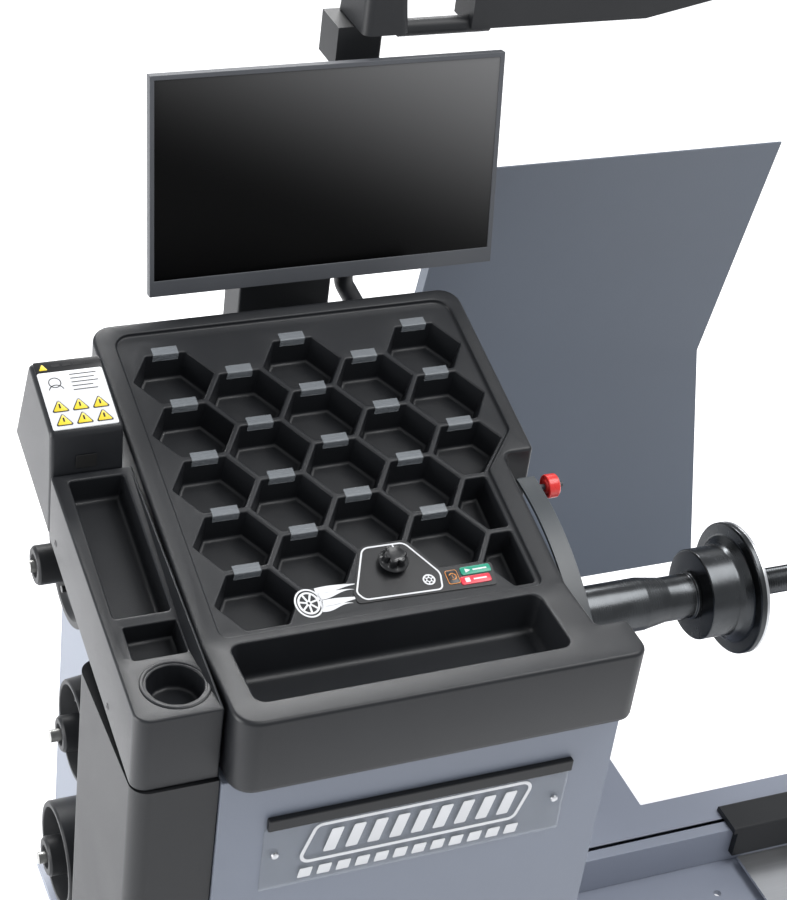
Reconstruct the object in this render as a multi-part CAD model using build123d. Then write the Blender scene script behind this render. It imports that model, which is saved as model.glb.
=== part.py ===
from build123d import *
import os
from math import cos, hypot, pi, radians, sin, sqrt, tan

# Car wheel balancer with a sloped weight tray, in millimetres.
# Origin: on the floor, under the middle of the cabinet.
# +X runs along the spindle towards the wheel, +Y to the back, +Z up.

# ---------------------------------------------------------------- driving dimensions
SHEET = 3.0                       # folded steel panels
SKIN = 4.0                        # moulded plastic walls
BASE_T = 10.0                     # floor plate
BASE_H = 88.0                     # top of the rail and of the rear box

CAB_X0, CAB_X1 = -275.0, 285.0    # cabinet side walls, outside
CAB_Y0, CAB_Y1 = -362.0, 365.0    # cabinet front and back, outside
CAB_TOP = 878.0
COVER_X1 = CAB_X0 - 2             # right side of the black corner cover

RIM_Z = 1000.0                    # level rim of the tray's front trough
FASCIA_Z = 881.0                  # lower edge of the tray's skirt
TRAY_X0, TRAY_X1 = -272.0, 286.0  # tray sides
NOSE_X0 = -273.0                  # left side of the rounded front
TRAY_Y0, TRAY_Y1 = -395.0, 295.0
HEX_Y0 = -237.4                   # where the level rim turns into the slope
SLOPE = 14.2                      # degrees

CELL_PITCH_X = 94.0               # honeycomb columns
CELL_PITCH_U = 96.8               # pockets up the slope
CELL_WALL = 8.0
CELL_DEPTH = 46.0
DECK_W = -6.0                     # the cell deck lies this far under the rim
FIRST_COLUMN_X = -176.2

SPINDLE_Y, SPINDLE_Z = -120.0, 827.0
THREAD_R = 20.0                   # standard 40 mm balancer thread
THREAD_X0, THREAD_X1 = 606.0, 850.0
FLANGE_X = 592.0                  # back of the clamping disc

GAUGE_Y, GAUGE_Z = -300.0, 905.0  # sliding rod of the distance gauge
GAUGE_X = 262.0                   # centre plane of its arm

GUARD_Y, GUARD_Z = 18.0, 550.0    # guard hinge
GUARD_X0, GUARD_X1 = 412.0, 1041.0

SCREEN_W, SCREEN_H = 527.0, 296.5
SCREEN_X, SCREEN_TILT = 111.5, 9.8
SCREEN_Y, SCREEN_Z = 373.0, 1121.0  # lower front edge of the monitor

MAST_X, MAST_Y = 200.0, 505.0
HEAD_Z = 1471.0                   # lower edge of the head that turns on the mast
BOOM_Y, BOOM_Z = 480.0, 1468.0    # boom tube

HOUSING_R, BEARING_R, JOURNAL_R = 45.0, 37.0, 25.0
PIVOT_R = 16.0
MAST_R = 15.0
MOTOR_Y, MOTOR_Z = -120.0, 620.0
SPINDLE_PULLEY_R, MOTOR_PULLEY_R = 42.0, 21.0
KNOB_Y, KNOB_Z = -58.0, 1020.0    # red knob at the gauge arm's end
PED_X0, PED_X1 = 4.0, 151.0
PED_Y0, PED_Y1 = 440.0, 503.0
RAIL_X0, RAIL_X1 = 286.0, 1200.0
RAIL_Y0, RAIL_Y1 = 48.0, 147.0
SLOT_Y0, SLOT_Y1 = 70.0, 77.0
BOX_X1 = 737.0                    # right end of the rear box
FLOOR_X1 = 905.0                  # right end of the floor plate
LIFT_X = 866.0
CONSOLE_X0, CONSOLE_X1, CONSOLE_Z = -387.0, -277.0, 998.0
DRUM_X = 531.0                    # back of the drum on the spindle
ANCHOR_X, ANCHOR_Y, ANCHOR_R = (330.0, 820.0), (-340.0, -20.0), 7.0

SLOPE_COS, SLOPE_SIN = cos(radians(SLOPE)), sin(radians(SLOPE))
DECK = Plane(origin=(0, HEX_Y0, RIM_Z), x_dir=(1, 0, 0), z_dir=(0, -SLOPE_SIN, SLOPE_COS))


# ---------------------------------------------------------------- helpers
def block(x0, x1, y0, y1, z0, z1):
    """Axis-aligned block between two corners."""
    size = (x1 - x0, y1 - y0, z1 - z0)
    return Pos((x0 + x1) / 2, (y0 + y1) / 2, (z0 + z1) / 2) * Box(*size)


def rod_x(x0, x1, y, z, r):
    """Cylinder along X."""
    return Pos((x0 + x1) / 2, y, z) * Rot(0, 90, 0) * Cylinder(r, x1 - x0)


def rod_y(x, y0, y1, z, r):
    return Pos(x, (y0 + y1) / 2, z) * Rot(90, 0, 0) * Cylinder(r, y1 - y0)


def rod_z(x, y, z0, z1, r):
    return Pos(x, y, (z0 + z1) / 2) * Cylinder(r, z1 - z0)


def ring_x(x0, x1, y, z, outer, inner):
    return rod_x(x0, x1, y, z, outer) - rod_x(x0 - 1, x1 + 1, y, z, inner)


def prism_x(points, x0, x1):
    """Outline in (y, z), carried along X from x0 to x1."""
    side = Plane(origin=(x0, 0, 0), x_dir=(0, 1, 0), z_dir=(1, 0, 0))
    face = side * make_face(Polyline(*points, close=True))
    return extrude(face, amount=x1 - x0, dir=(1, 0, 0))


def on_deck(points, w0, w1):
    """Outline in (x, u) of the sloped deck, between heights w0 and w1 above it."""
    face = make_face(Polyline(*points, close=True))
    return DECK.location * Pos(0, 0, w0) * extrude(face, amount=w1 - w0, dir=(0, 0, 1))


def deck_rod(x, u, w0, w1, r):
    return DECK.location * Pos(x, u, (w0 + w1) / 2) * Cylinder(r, w1 - w0)


def rectangle(x0, x1, y0, y1):
    return [(x0, y0), (x1, y0), (x1, y1), (x0, y1)]


def slope_z(y, drop=0.0):
    """Height of the rim over a point at y, less a vertical drop."""
    return RIM_Z + max(0.0, y - HEX_Y0) * tan(radians(SLOPE)) - drop


parts = {}


# ---------------------------------------------------------------- base
def make_base():
    plate = block(-300, FLOOR_X1, -375, RAIL_Y0, 0, BASE_T) + block(-300, BOX_X1, RAIL_Y0, 375, 0, BASE_T)
    plate += block(BOX_X1, RAIL_X1, RAIL_Y0, RAIL_Y1, 0, BASE_T)
    for x in ANCHOR_X:
        for y in ANCHOR_Y:
            plate -= rod_z(x, y, -1, BASE_T + 1, ANCHOR_R)
    parts["base_plate"] = plate

    rail = block(RAIL_X0, RAIL_X1, RAIL_Y0, RAIL_Y1, BASE_T, BASE_H)
    hollow_x = (RAIL_X0 + SHEET, RAIL_X1 - SHEET)
    rail -= block(*hollow_x, RAIL_Y0 + SHEET, RAIL_Y1 - SHEET, BASE_T - 1, BASE_H - SHEET)
    rail -= block(RAIL_X0 + 20, RAIL_X1 - 20, SLOT_Y0, SLOT_Y1, BASE_H - SHEET - 1, BASE_H + 1)

    box = block(RAIL_X0, BOX_X1, RAIL_Y1, 365, BASE_T, BASE_H)
    box -= block(RAIL_X0 + SHEET, BOX_X1 - SHEET, RAIL_Y1 + SHEET, 365 - SHEET, BASE_T - 1, BASE_H - SHEET)
    parts["base_frame"] = rail + box


# ---------------------------------------------------------------- cabinet
def make_cabinet():
    side = (CAB_Y0 + SHEET, CAB_Y1 - SHEET, BASE_T, CAB_TOP - SHEET)
    parts["cabinet_left_wall"] = block(CAB_X0, CAB_X0 + SHEET, *side)
    right = block(CAB_X1 - SHEET, CAB_X1, *side)
    right += rod_x(CAB_X1 - 38, CAB_X1 - SHEET, GUARD_Y, GUARD_Z, 30)
    right += block(150, CAB_X1 - SHEET, -150, 20, 690, 705) + block(160, 200, 0, 20, 705, 860)
    right -= rod_x(CAB_X1 - 10, CAB_X1 + 10, SPINDLE_Y, SPINDLE_Z, HOUSING_R)
    right -= rod_x(CAB_X1 - 50, CAB_X1 + 10, GUARD_Y, GUARD_Z, PIVOT_R + 0.05)
    parts["cabinet_right_wall"] = right
    top = block(CAB_X0, CAB_X1, CAB_Y0 + SHEET, CAB_Y1, CAB_TOP - SHEET, CAB_TOP)
    parts["cabinet_top_plate"] = top
    rear = block(CAB_X0, CAB_X1, CAB_Y1 - SHEET, CAB_Y1, BASE_T, CAB_TOP - SHEET)
    rear -= block(-238, -182, CAB_Y1 - 10, CAB_Y1 + 10, 302, 358)
    parts["cabinet_rear_panel"] = rear
    parts["front_panel"] = block(CAB_X0, CAB_X1, CAB_Y0, CAB_Y0 + SHEET, BASE_T, CAB_TOP)


def make_column_cover():
    """Moulded black cover over the cabinet's left front edge, rounded in plan."""
    with BuildSketch() as plan:
        Polygon(*rectangle(-387, COVER_X1, -358, -101), align=None)
        fillet(plan.vertices().group_by(Axis.X)[0], 24)
    with BuildSketch() as hollow:
        Polygon(*rectangle(-383, COVER_X1 - SKIN, -354, -105), align=None)
        fillet(hollow.vertices().group_by(Axis.X)[0], 20)
    cover = Pos(0, 0, BASE_T) * extrude(plan.sketch, 881 - BASE_T)
    cover -= Pos(0, 0, BASE_T - 1) * extrude(hollow.sketch, 881 - BASE_T - SKIN)
    parts["left_column_cover"] = cover


def make_placard():
    """Clear plate, and the black strip that clamps its top edge."""
    y = CAB_Y0
    parts["placard"] = block(-212, 221, y - 4, y, 673, 783)
    parts["placard_strip"] = block(-209, 222, y - 9, y, 784, 803)


# ---------------------------------------------------------------- weight tray
def cell_centres():
    """Pocket centres (x, u) of the honeycomb: five columns, every other one half a pitch lower."""
    first = 57.0
    cells = []
    for column in range(5):
        x = FIRST_COLUMN_X + column * CELL_PITCH_X
        shifted = column % 2
        rows = range(4) if shifted else range(5)
        for row in rows:
            u = first + row * CELL_PITCH_U + shifted * CELL_PITCH_U / 2
            if column == 2 and row == 0:
                continue                      # this place carries the control panel
            cells.append((x, u))
    return cells


def cell_corners(x, u, inset=0.0):
    """Six corners of one flat-topped pocket, moved inwards by a wall's half thickness."""
    across = CELL_PITCH_X * 2 / 3
    half = CELL_PITCH_U / 2
    slant = hypot(half, across / 2)
    side = across - inset * slant / half
    high = half - inset
    flat = side - high * (across / 2) / half
    return [(x + side, u), (x + flat, u + high), (x - flat, u + high),
            (x - side, u), (x - flat, u - high), (x + flat, u - high)]


FIELD = [(-243, 4), (-243, 528), (264, 528), (264, 270), (207, 205), (207, 4)]


def clip(points, inside, cross):
    """Sutherland-Hodgman step: keep the part of a convex outline on one side of a line."""
    kept = []
    for i, p in enumerate(points):
        q = points[(i + 1) % len(points)]
        if inside(p):
            kept.append(p)
        if inside(p) != inside(q):
            kept.append(cross(p, q))
    return kept


def clip_axis(points, axis, limit, sign):
    """Keep what lies below (sign 1) or above (sign -1) a limit of x or u."""
    def inside(p):
        return sign * (p[axis] - limit) <= 1e-9

    def cross(p, q):
        t = (limit - p[axis]) / (q[axis] - p[axis])
        return (p[0] + t * (q[0] - p[0]), p[1] + t * (q[1] - p[1]))
    return clip(points, inside, cross)


def into_field(points, low_part):
    """Clip an outline to the pan: wide above the notch, narrow beside it."""
    edge = 206.9 if low_part else 263.9
    for axis, limit, sign in ((0, -242.9, -1), (0, edge, 1), (1, 4.1, -1), (1, 527.9, 1)):
        points = clip_axis(points, axis, limit, sign) if points else points
    if points and max(x for x, u in points) > 207.5:
        points = clip_notch(points)
    return points


def clip_notch(points):
    """Keep what lies above the slanting wall beside the gauge's notch."""
    (x1, u1), (x0, u0) = FIELD[3], FIELD[4]
    rise = (u1 - u0) / (x1 - x0)

    def above(p):
        return p[1] - u0 - 0.15 - rise * (p[0] - x0)

    def cross(p, q):
        t = above(p) / (above(p) - above(q))
        return (p[0] + t * (q[0] - p[0]), p[1] + t * (q[1] - p[1]))
    return clip(points, lambda p: above(p) >= 0, cross)


def area(points):
    total = 0.0
    for i, (x, y) in enumerate(points):
        x2, y2 = points[(i + 1) % len(points)]
        total += x * y2 - x2 * y
    return abs(total) / 2


def distinct(points, gap=0.4):
    kept = []
    for p in points:
        if not kept or hypot(p[0] - kept[-1][0], p[1] - kept[-1][1]) > gap:
            kept.append(p)
    while len(kept) > 2 and hypot(kept[0][0] - kept[-1][0], kept[0][1] - kept[-1][1]) <= gap:
        kept.pop()
    return kept


def make_cell_grid():
    """Honeycomb walls as straight pieces, and solid deck where there is no pocket."""
    cells = cell_centres()
    known = {(round(x), round(u)) for x, u in cells}
    top, bottom = DECK_W, DECK_W - CELL_DEPTH
    pieces = []

    def add(points, low_part):
        points = distinct(into_field(points, low_part))
        if len(points) > 2 and area(points) > 12:
            pieces.append(on_deck(points, bottom, top))

    for x, u in cells:
        low_part = x > 150 and u < 200
        outer = cell_corners(x, u)
        inner = cell_corners(x, u, CELL_WALL / 2)
        for k in range(6):
            a, b = outer[k], outer[(k + 1) % 6]
            mid = ((a[0] + b[0]) / 2, (a[1] + b[1]) / 2)
            other = (2 * mid[0] - x, 2 * mid[1] - u)
            if (round(other[0]), round(other[1])) in known:
                if (other[0], other[1]) < (x, u):
                    continue
                far = cell_corners(*other, CELL_WALL / 2)
                c, d = far[(k + 4) % 6], far[(k + 3) % 6]
                add([a, c, d, b, inner[(k + 1) % 6], inner[k]], low_part)
            else:
                add([a, b, inner[(k + 1) % 6], inner[k]], low_part)
    for column in range(-1, 7):
        x = FIRST_COLUMN_X + column * CELL_PITCH_X
        for row in range(-1, 6):
            u = 57.0 + row * CELL_PITCH_U + (column % 2) * CELL_PITCH_U / 2
            if (round(x), round(u)) in known:
                continue
            add(cell_corners(x, u), x > 150 and u < 230)
    parts["cell_grid"] = Compound(children=pieces)


def rounded_plan(x0, x1, y0, y1, z0, z1, front, back):
    """Upright block whose front and back corners are rounded in plan."""
    with BuildSketch() as plan:
        Polygon(*rectangle(x0, x1, y0, y1), align=None)
        fillet(plan.vertices().group_by(Axis.Y)[0], front)
        fillet(plan.vertices().group_by(Axis.Y)[-1], back)
    return Pos(0, 0, z0) * extrude(plan.sketch, z1 - z0)


def make_tray():
    """One moulding: level front with the trough, sloped deck pan and a skirt all round."""
    profile = [(TRAY_Y0, FASCIA_Z), (TRAY_Y0, RIM_Z), (HEX_Y0, RIM_Z),
               (TRAY_Y1, slope_z(TRAY_Y1)), (TRAY_Y1, FASCIA_Z)]
    inner = [(TRAY_Y0 + SKIN, FASCIA_Z - 1), (TRAY_Y0 + SKIN, RIM_Z - SKIN), (HEX_Y0 + 1, RIM_Z - SKIN),
             (TRAY_Y1 - SKIN, slope_z(TRAY_Y1, SKIN)), (TRAY_Y1 - SKIN, FASCIA_Z - 1)]
    hood = prism_x(profile, TRAY_X0, TRAY_X1)
    hood &= rounded_plan(TRAY_X0, TRAY_X1, TRAY_Y0 - 30, TRAY_Y1, FASCIA_Z, 1200, 20, 30)
    nose = rounded_plan(NOSE_X0, TRAY_X1, TRAY_Y0, HEX_Y0 - 60, FASCIA_Z, RIM_Z, 34, 8)
    cavity = prism_x(inner, TRAY_X0 + SKIN, TRAY_X1 - SKIN)
    inside = (TRAY_X0 + SKIN, TRAY_X1 - SKIN, TRAY_Y0 + SKIN, TRAY_Y1 - SKIN)
    cavity &= rounded_plan(*inside, FASCIA_Z - 1, 1200, 30, 26)
    corner = block(TRAY_X0 - 1, TRAY_X1 + 1, TRAY_Y0 - 1, TRAY_Y0 + 40, FASCIA_Z - 1, 1300)
    tray = (hood - corner) + nose - cavity

    floor = DECK_W - CELL_DEPTH
    pan = [(-247, 0), (-247, 532), (268, 532), (268, 262), (239, 230), (239, 0)]
    tray += on_deck(pan, floor - SKIN, DECK_W) & block(-280, 280, -300, 290, 900, 1200)
    tray += block(-244, 199, -364, -241, RIM_Z - 66, RIM_Z - 2)
    tray -= on_deck(FIELD, floor, 40)
    trough = block(-240, 195, -360, -245, RIM_Z - 62, RIM_Z + 5)
    trough = fillet(trough.edges().filter_by(Axis.Z), 14)
    tray -= trough

    # notch beside the pan for the gauge arm, open to the right
    tray += block(235, 239, -343, -10, FASCIA_Z + 1, RIM_Z - 2)
    back_wall = [(-14, FASCIA_Z), (-10, FASCIA_Z), (-10, slope_z(-12)), (-14, slope_z(-12))]
    tray += prism_x(back_wall, 236, TRAY_X1)
    tray -= block(239, TRAY_X1 + 5, -325, -14, FASCIA_Z - 1, 1200)
    tray -= block(239, TRAY_X1 - 6, -343, -325, FASCIA_Z - 1, 1200)
    tray -= rod_x(230, 245, GAUGE_Y, GAUGE_Z, 12)
    parts["weight_tray"] = tray


def make_cell_tags():
    """Clear label clips, one on the upper wall of each pocket."""
    tags = []
    for x, u in cell_centres():
        if x > 150 and u < 200:
            continue
        edge = u + CELL_PITCH_U / 2
        top = on_deck(rectangle(x - 18, x + 18, edge - 5.5, edge + 8), DECK_W + 0.2, DECK_W + 1.6)
        flap = on_deck(rectangle(x - 18, x + 18, edge - 5.5, edge - 4.3), DECK_W - 12, DECK_W + 0.2)
        tags.append(top + flap)
    parts["cell_tags"] = Compound(children=tags)


# ---------------------------------------------------------------- control panel
KEYS = {
    "start_key": rectangle(103, 146, 39.5, 52),
    "stop_key": rectangle(98, 141, 25, 37.5),
    "brake_key": rectangle(82, 96, 27, 50),
}
KNOB_X, KNOB_U = 17.0, 77.0


def make_controls():
    outline = [(-46, 22), (150, 22), (156, 54), (76, 54), (44, 104), (-10, 104), (-46, 46)]
    overlay = on_deck(outline, DECK_W, DECK_W + 1.6)
    for points in KEYS.values():
        xs, us = [p[0] for p in points], [p[1] for p in points]
        window = rectangle(min(xs) - 0.4, max(xs) + 0.4, min(us) - 0.4, max(us) + 0.4)
        overlay -= on_deck(window, DECK_W - 1, DECK_W + 3)
    overlay -= deck_rod(KNOB_X, KNOB_U, DECK_W - 1, DECK_W + 3, 7)
    parts["keypad_overlay"] = overlay
    for name, points in KEYS.items():
        parts[name] = on_deck(points, DECK_W + 0.8, DECK_W + 2.2)
    # rotary encoder: push shaft and lobed knob
    parts["knob_shaft"] = deck_rod(KNOB_X, KNOB_U, DECK_W + 2.6, DECK_W + 20, 3)
    grip = deck_rod(KNOB_X, KNOB_U, DECK_W + 7.5, DECK_W + 24, 15)
    for k in range(6):
        a = radians(60 * k + 30)
        grip += deck_rod(KNOB_X + 13 * cos(a), KNOB_U + 13 * sin(a), DECK_W + 7.5, DECK_W + 22, 5.5)
    skirt = deck_rod(KNOB_X, KNOB_U, DECK_W + 7.5, DECK_W + 10, 20)
    parts["control_knob"] = grip + skirt - deck_rod(KNOB_X, KNOB_U, DECK_W + 2, DECK_W + 20, 3.05)


# ---------------------------------------------------------------- left console
def rounded_left(x0, x1, front, r):
    """Upright block whose front left corner is rounded in plan."""
    with BuildSketch() as plan:
        Polygon(*rectangle(x0, x1, front, 60), align=None)
        fillet(plan.vertices().sort_by(Axis.Y)[:2].sort_by(Axis.X)[0], r)
    return Pos(0, 0, 800) * extrude(plan.sketch, 400)


def make_console():
    """Side shelf that follows the tray, with a cup holder, a pocket and a long recess."""
    x0, x1, z = CONSOLE_X0, CONSOLE_X1, CONSOLE_Z
    front = -355.0
    profile = [(front, z), (-237, z), (53, z + 75), (53, 970), (-323, 883), (front, 883)]
    shell = prism_x(profile, x0, x1)
    shell &= rounded_left(x0, x1, front, 20)
    cavity = [(front + SKIN, z - SKIN), (-237, z - SKIN), (49, z + 71), (49, 960), (-324, 872),
              (front + SKIN, 872)]
    inner_plan = rounded_left(x0 + SKIN, x1 - SKIN, front + SKIN, 20 - SKIN)
    shell -= prism_x(cavity, x0 + SKIN, x1 - SKIN) & inner_plan
    cup_x, cup_y = -322.0, -298.0
    shell += rod_z(cup_x, cup_y, z - 42, z, 42.5)
    shell -= rod_z(cup_x, cup_y, z - 38, z + 20, 38.5)
    shell -= block(cup_x - 13, cup_x + 13, cup_y - 17, cup_y + 17, z - 50, z - 30)
    shell += block(-365, -283, -250, -188, z - 40, z)
    shell -= block(-361, -287, -246, -192, z - 36, z + 60)
    shell += prism_x([(-188, 963), (44, 1014), (44, 1068), (-188, 1009)], -373, -285)
    shell -= prism_x([(-184, 967), (40, 1018), (40, 1110), (-184, 1110)], -369, -289)
    parts["left_console"] = shell


def make_notice_box():
    """Closed housing on the back of the side shelf, with a socket in its front."""
    profile = [(54, 971), (54, 1068), (59, 1133), (176, 1170), (238, 1016)]
    box = prism_x(profile, -387, -288)
    box -= prism_x([(60, 967), (60, 1070), (64, 1128), (172, 1162), (232, 1018)], -383, -292)
    box -= block(-352, -326, 40, 62, 1078, 1096)
    parts["notice_box"] = box


# ---------------------------------------------------------------- spindle
def make_spindle():
    y, z = SPINDLE_Y, SPINDLE_Z
    housing = rod_x(110, 300, y, z, HOUSING_R)
    housing += block(270, CAB_X1 - SHEET, y - 80, y + 80, z - 80, CAB_TOP - SHEET - 3)
    housing -= rod_x(100, 310, y, z, BEARING_R)
    corners = [(y + sy * 66, z + dz) for sy in (-1, 1) for dz in (-66, 30)]
    for by, bz in corners:
        housing -= rod_x(269, 271.5, by, bz, 9)
    parts["bearing_housing"] = housing
    parts["housing_bolts"] = Compound(children=[rod_x(264, 271.5, by, bz, 8) for by, bz in corners])

    outer, inner = [], []
    for x in (120, 250):
        outer.append(ring_x(x, x + 20, y, z, BEARING_R, 34))
        inner.append(ring_x(x, x + 20, y, z, 28.2, JOURNAL_R))
        for k in range(12):
            a = 2 * pi * k / 12
            inner.append(Pos(x + 10, y + 31 * cos(a), z + 31 * sin(a)) * Sphere(2.7))
    parts["bearing_outer_rings"] = Compound(children=outer)
    parts["bearing_inner_rings"] = Compound(children=inner)

    outline = [(40, 0), (40, 17), (112, 17), (112, JOURNAL_R), (280, JOURNAL_R), (280, 30),
               (302, 30), (302, 39), (443, 39), (481, 33), (DRUM_X, 33), (DRUM_X, 24),
               (THREAD_X0 + 14, 24), (THREAD_X0 + 14, THREAD_R),
               (THREAD_X1 - 3, THREAD_R), (THREAD_X1, THREAD_R - 3),
               (THREAD_X1, 0)]
    parts["spindle_shaft"] = revolve_x(outline, y, z)

    drum = chamfer(rod_x(DRUM_X, FLANGE_X, y, z, 67).edges().group_by(Axis.X)[0], 2)
    disc = fillet(rod_x(FLANGE_X, THREAD_X0, y, z, 98).edges(), 2.5)
    collar = rod_x(THREAD_X0, THREAD_X0 + 14, y, z, 32)
    parts["spindle_flange"] = drum + disc + collar - rod_x(DRUM_X - 10, THREAD_X0 + 20, y, z, 24)

    pulley = ring_x(60, 84, y, z, SPINDLE_PULLEY_R, 17) + ring_x(58, 60, y, z, SPINDLE_PULLEY_R + 3, 17)
    parts["spindle_pulley"] = pulley + ring_x(84, 86, y, z, SPINDLE_PULLEY_R + 3, 17)
    parts["encoder_disc"] = ring_x(92, 94, y, z, 42, 17)
    reader = block(86.5, 99.5, y + 34, y + 60, z - 10, z + 10)
    reader -= block(90, 96, y + 33, y + 48, z - 12, z + 12)
    parts["encoder_reader"] = reader + block(86.5, 99.5, y + 56, y + 60, z - 10, CAB_TOP - SHEET)


def revolve_x(points, y, z):
    """Outline in (x, r) turned about an axis along X through (y, z)."""
    return Pos(0, y, z) * revolve(make_face(Polyline(*points, close=True)), Axis.X, 360)


def make_drive():
    y, z = MOTOR_Y, MOTOR_Z
    pulley = rod_x(60, 84, y, z, MOTOR_PULLEY_R) + rod_x(58, 60, y, z, MOTOR_PULLEY_R + 3)
    pulley += rod_x(84, 86, y, z, MOTOR_PULLEY_R + 3)
    parts["motor_pulley"] = pulley + rod_x(86, 130, y, z, 8)
    motor = rod_x(104, 262, y, z, 55) - rod_x(100, 131, y, z, 8.06)
    cradle = block(96, 104, y - 65, y + 65, z - 70, z + 65) - rod_x(90, 110, y, z, 30)
    parts["drive_motor"] = motor + cradle + block(104, CAB_X1 - SHEET, y - 65, y + 65, z - 70, z - 64)
    parts["drive_belt"] = make_belt()


def make_belt():
    """Flat toothed belt round the two pulleys: two arcs joined by their outer tangents."""
    gap, thick, width = 0.4, 2.4, 16.0
    big, small = SPINDLE_PULLEY_R + gap, MOTOR_PULLEY_R + gap
    reach = SPINDLE_Z - MOTOR_Z
    lean = (big - small) / reach
    upright = sqrt(1 - lean * lean)

    def band(extra, x0, x1):
        r1, r2 = big + extra, small + extra
        corners = [(upright * r1, lean * r1 + reach), (-upright * r1, lean * r1 + reach),
                   (-upright * r2, lean * r2), (upright * r2, lean * r2)]
        flat = prism_x([(MOTOR_Y + a, MOTOR_Z + b) for a, b in corners], x0, x1)
        return flat + rod_x(x0, x1, SPINDLE_Y, SPINDLE_Z, r1) + rod_x(x0, x1, MOTOR_Y, MOTOR_Z, r2)
    return band(thick, 64, 64 + width) - band(0, 63, 65 + width)


def make_electrics():
    wall = CAB_X0 + SHEET
    board = block(wall + 12, wall + 14, 40, 260, 480, 660)
    for y in (60, 240):
        for z in (500, 640):
            board += rod_x(wall, wall + 12, y, z, 5)
    parts["control_board"] = board
    parts["power_supply"] = block(wall, wall + 60, 60, 240, 220, 320)
    below = SPINDLE_Z - HOUSING_R
    parts["force_sensors"] = Compound(children=[rod_z(180, SPINDLE_Y, 705, below, 10),
                                                rod_y(180, SPINDLE_Y + HOUSING_R, 0, SPINDLE_Z, 10)])
    y, x = CAB_Y1, -210.0
    inlet = block(x - 28, x + 28, y - SHEET, y + 4, 302, 358)
    inlet += block(x - 24, x + 24, y - 25, y - SHEET, 304, 356)
    inlet -= block(x - 13.5, x + 13.5, y - 16, y + 5, 306, 326)
    inlet -= block(x - 15, x + 15, y - 9, y + 5, 333, 353)
    parts["power_inlet"] = inlet
    rocker = [(y - 4, 334), (y + 6, 335), (y + 3.5, 343), (y + 6, 351), (y - 4, 352)]
    tipped = Pos(0, y, 343) * Rot(-6, 0, 0) * Pos(0, -y, -343)
    parts["power_rocker"] = tipped * prism_x(rocker, x - 14, x + 14)


# ---------------------------------------------------------------- distance gauge
def make_gauge():
    y, z = GAUGE_Y, GAUGE_Z
    parts["gauge_rod"] = rod_x(-60, GAUGE_X - 6, y, z, 10)
    guides = []
    for x in (40, 200):
        guide = block(x - 14, x + 14, y - 20, y + 20, CAB_TOP, 925)
        guides.append(guide - rod_x(x - 20, x + 20, y, z, 10.05))
    parts["gauge_guides"] = Compound(children=guides)
    # flat arm bowed upwards: one arc outside, one inside
    outline = Curve() + [ThreePointArc((-296, 917), (-158, 1010), (-46, 1032)),
                         Line((-46, 1032), (-45, 1027)),
                         ThreePointArc((-45, 1027), (-155, 1004), (-290, 911)),
                         Line((-290, 911), (-296, 917))]
    face = Plane(origin=(GAUGE_X - 14, 0, 0), x_dir=(0, 1, 0), z_dir=(1, 0, 0)) * make_face(outline)
    arm = extrude(face, amount=28, dir=(1, 0, 0)) + rod_x(GAUGE_X - 14, GAUGE_X + 14, y, z, 18)
    arm += block(GAUGE_X + 8, GAUGE_X + 14, KNOB_Y - 9, KNOB_Y + 9, KNOB_Z - 8, KNOB_Z + 8)
    arm += rod_x(GAUGE_X + 14, GAUGE_X + 54, KNOB_Y, KNOB_Z, 4)
    parts["gauge_arm"] = arm - rod_x(GAUGE_X - 20, GAUGE_X - 5.5, y, z, 10.05)
    parts["gauge_knob"] = ring_x(GAUGE_X + 26, GAUGE_X + 44, KNOB_Y, KNOB_Z, 17, 4)


# ---------------------------------------------------------------- wheel guard
def make_guard():
    y, z = GUARD_Y, GUARD_Z
    arm = rod_x(CAB_X1 - 45, 345, y, z, PIVOT_R)
    web = [(y - 12, z + 28), (y - 25, z - 15), (560, 318), (600, 330), (600, 372), (575, 372)]
    arm += prism_x(web, 345, 357)
    arm += block(345, GUARD_X0 - 1, 560, 574, 330, 372)
    arm += rod_x(333, 345, y, z, 32)
    parts["guard_arm"] = arm
    sheet_t, flange = 2.5, 24.0
    lower, bend, top = (588, 252), (724, 649), (619, 1142)
    shell = prism_x([lower, bend, top, (top[0] - sheet_t, top[1] - 1), (bend[0] - sheet_t - 0.2, bend[1]),
                     (lower[0] - sheet_t, lower[1] + 1)], GUARD_X0, GUARD_X1)
    edge = [(lower[0] - 1, lower[1] + 1), (bend[0] - 1, bend[1]), (top[0] - 1, top[1] - 1),
            (top[0] - flange, top[1] - 6), (bend[0] - flange - 2, bend[1]), (lower[0] - flange, lower[1] + 9)]
    parts["guard_panel"] = shell + prism_x(edge, GUARD_X0, GUARD_X0 + sheet_t)


# ---------------------------------------------------------------- monitor
def screen_place(x, y, z):
    """Local place on the monitor: x right, y up the face, z out of the screen."""
    a = radians(SCREEN_TILT)
    front = Plane(origin=(SCREEN_X, SCREEN_Y, SCREEN_Z), x_dir=(1, 0, 0), z_dir=(0, -cos(a), sin(a)))
    return front.location * Pos(x, y, z)


def on_screen(x0, x1, y0, y1, z0, z1):
    return screen_place((x0 + x1) / 2, (y0 + y1) / 2, (z0 + z1) / 2) * Box(x1 - x0, y1 - y0, z1 - z0)


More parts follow.
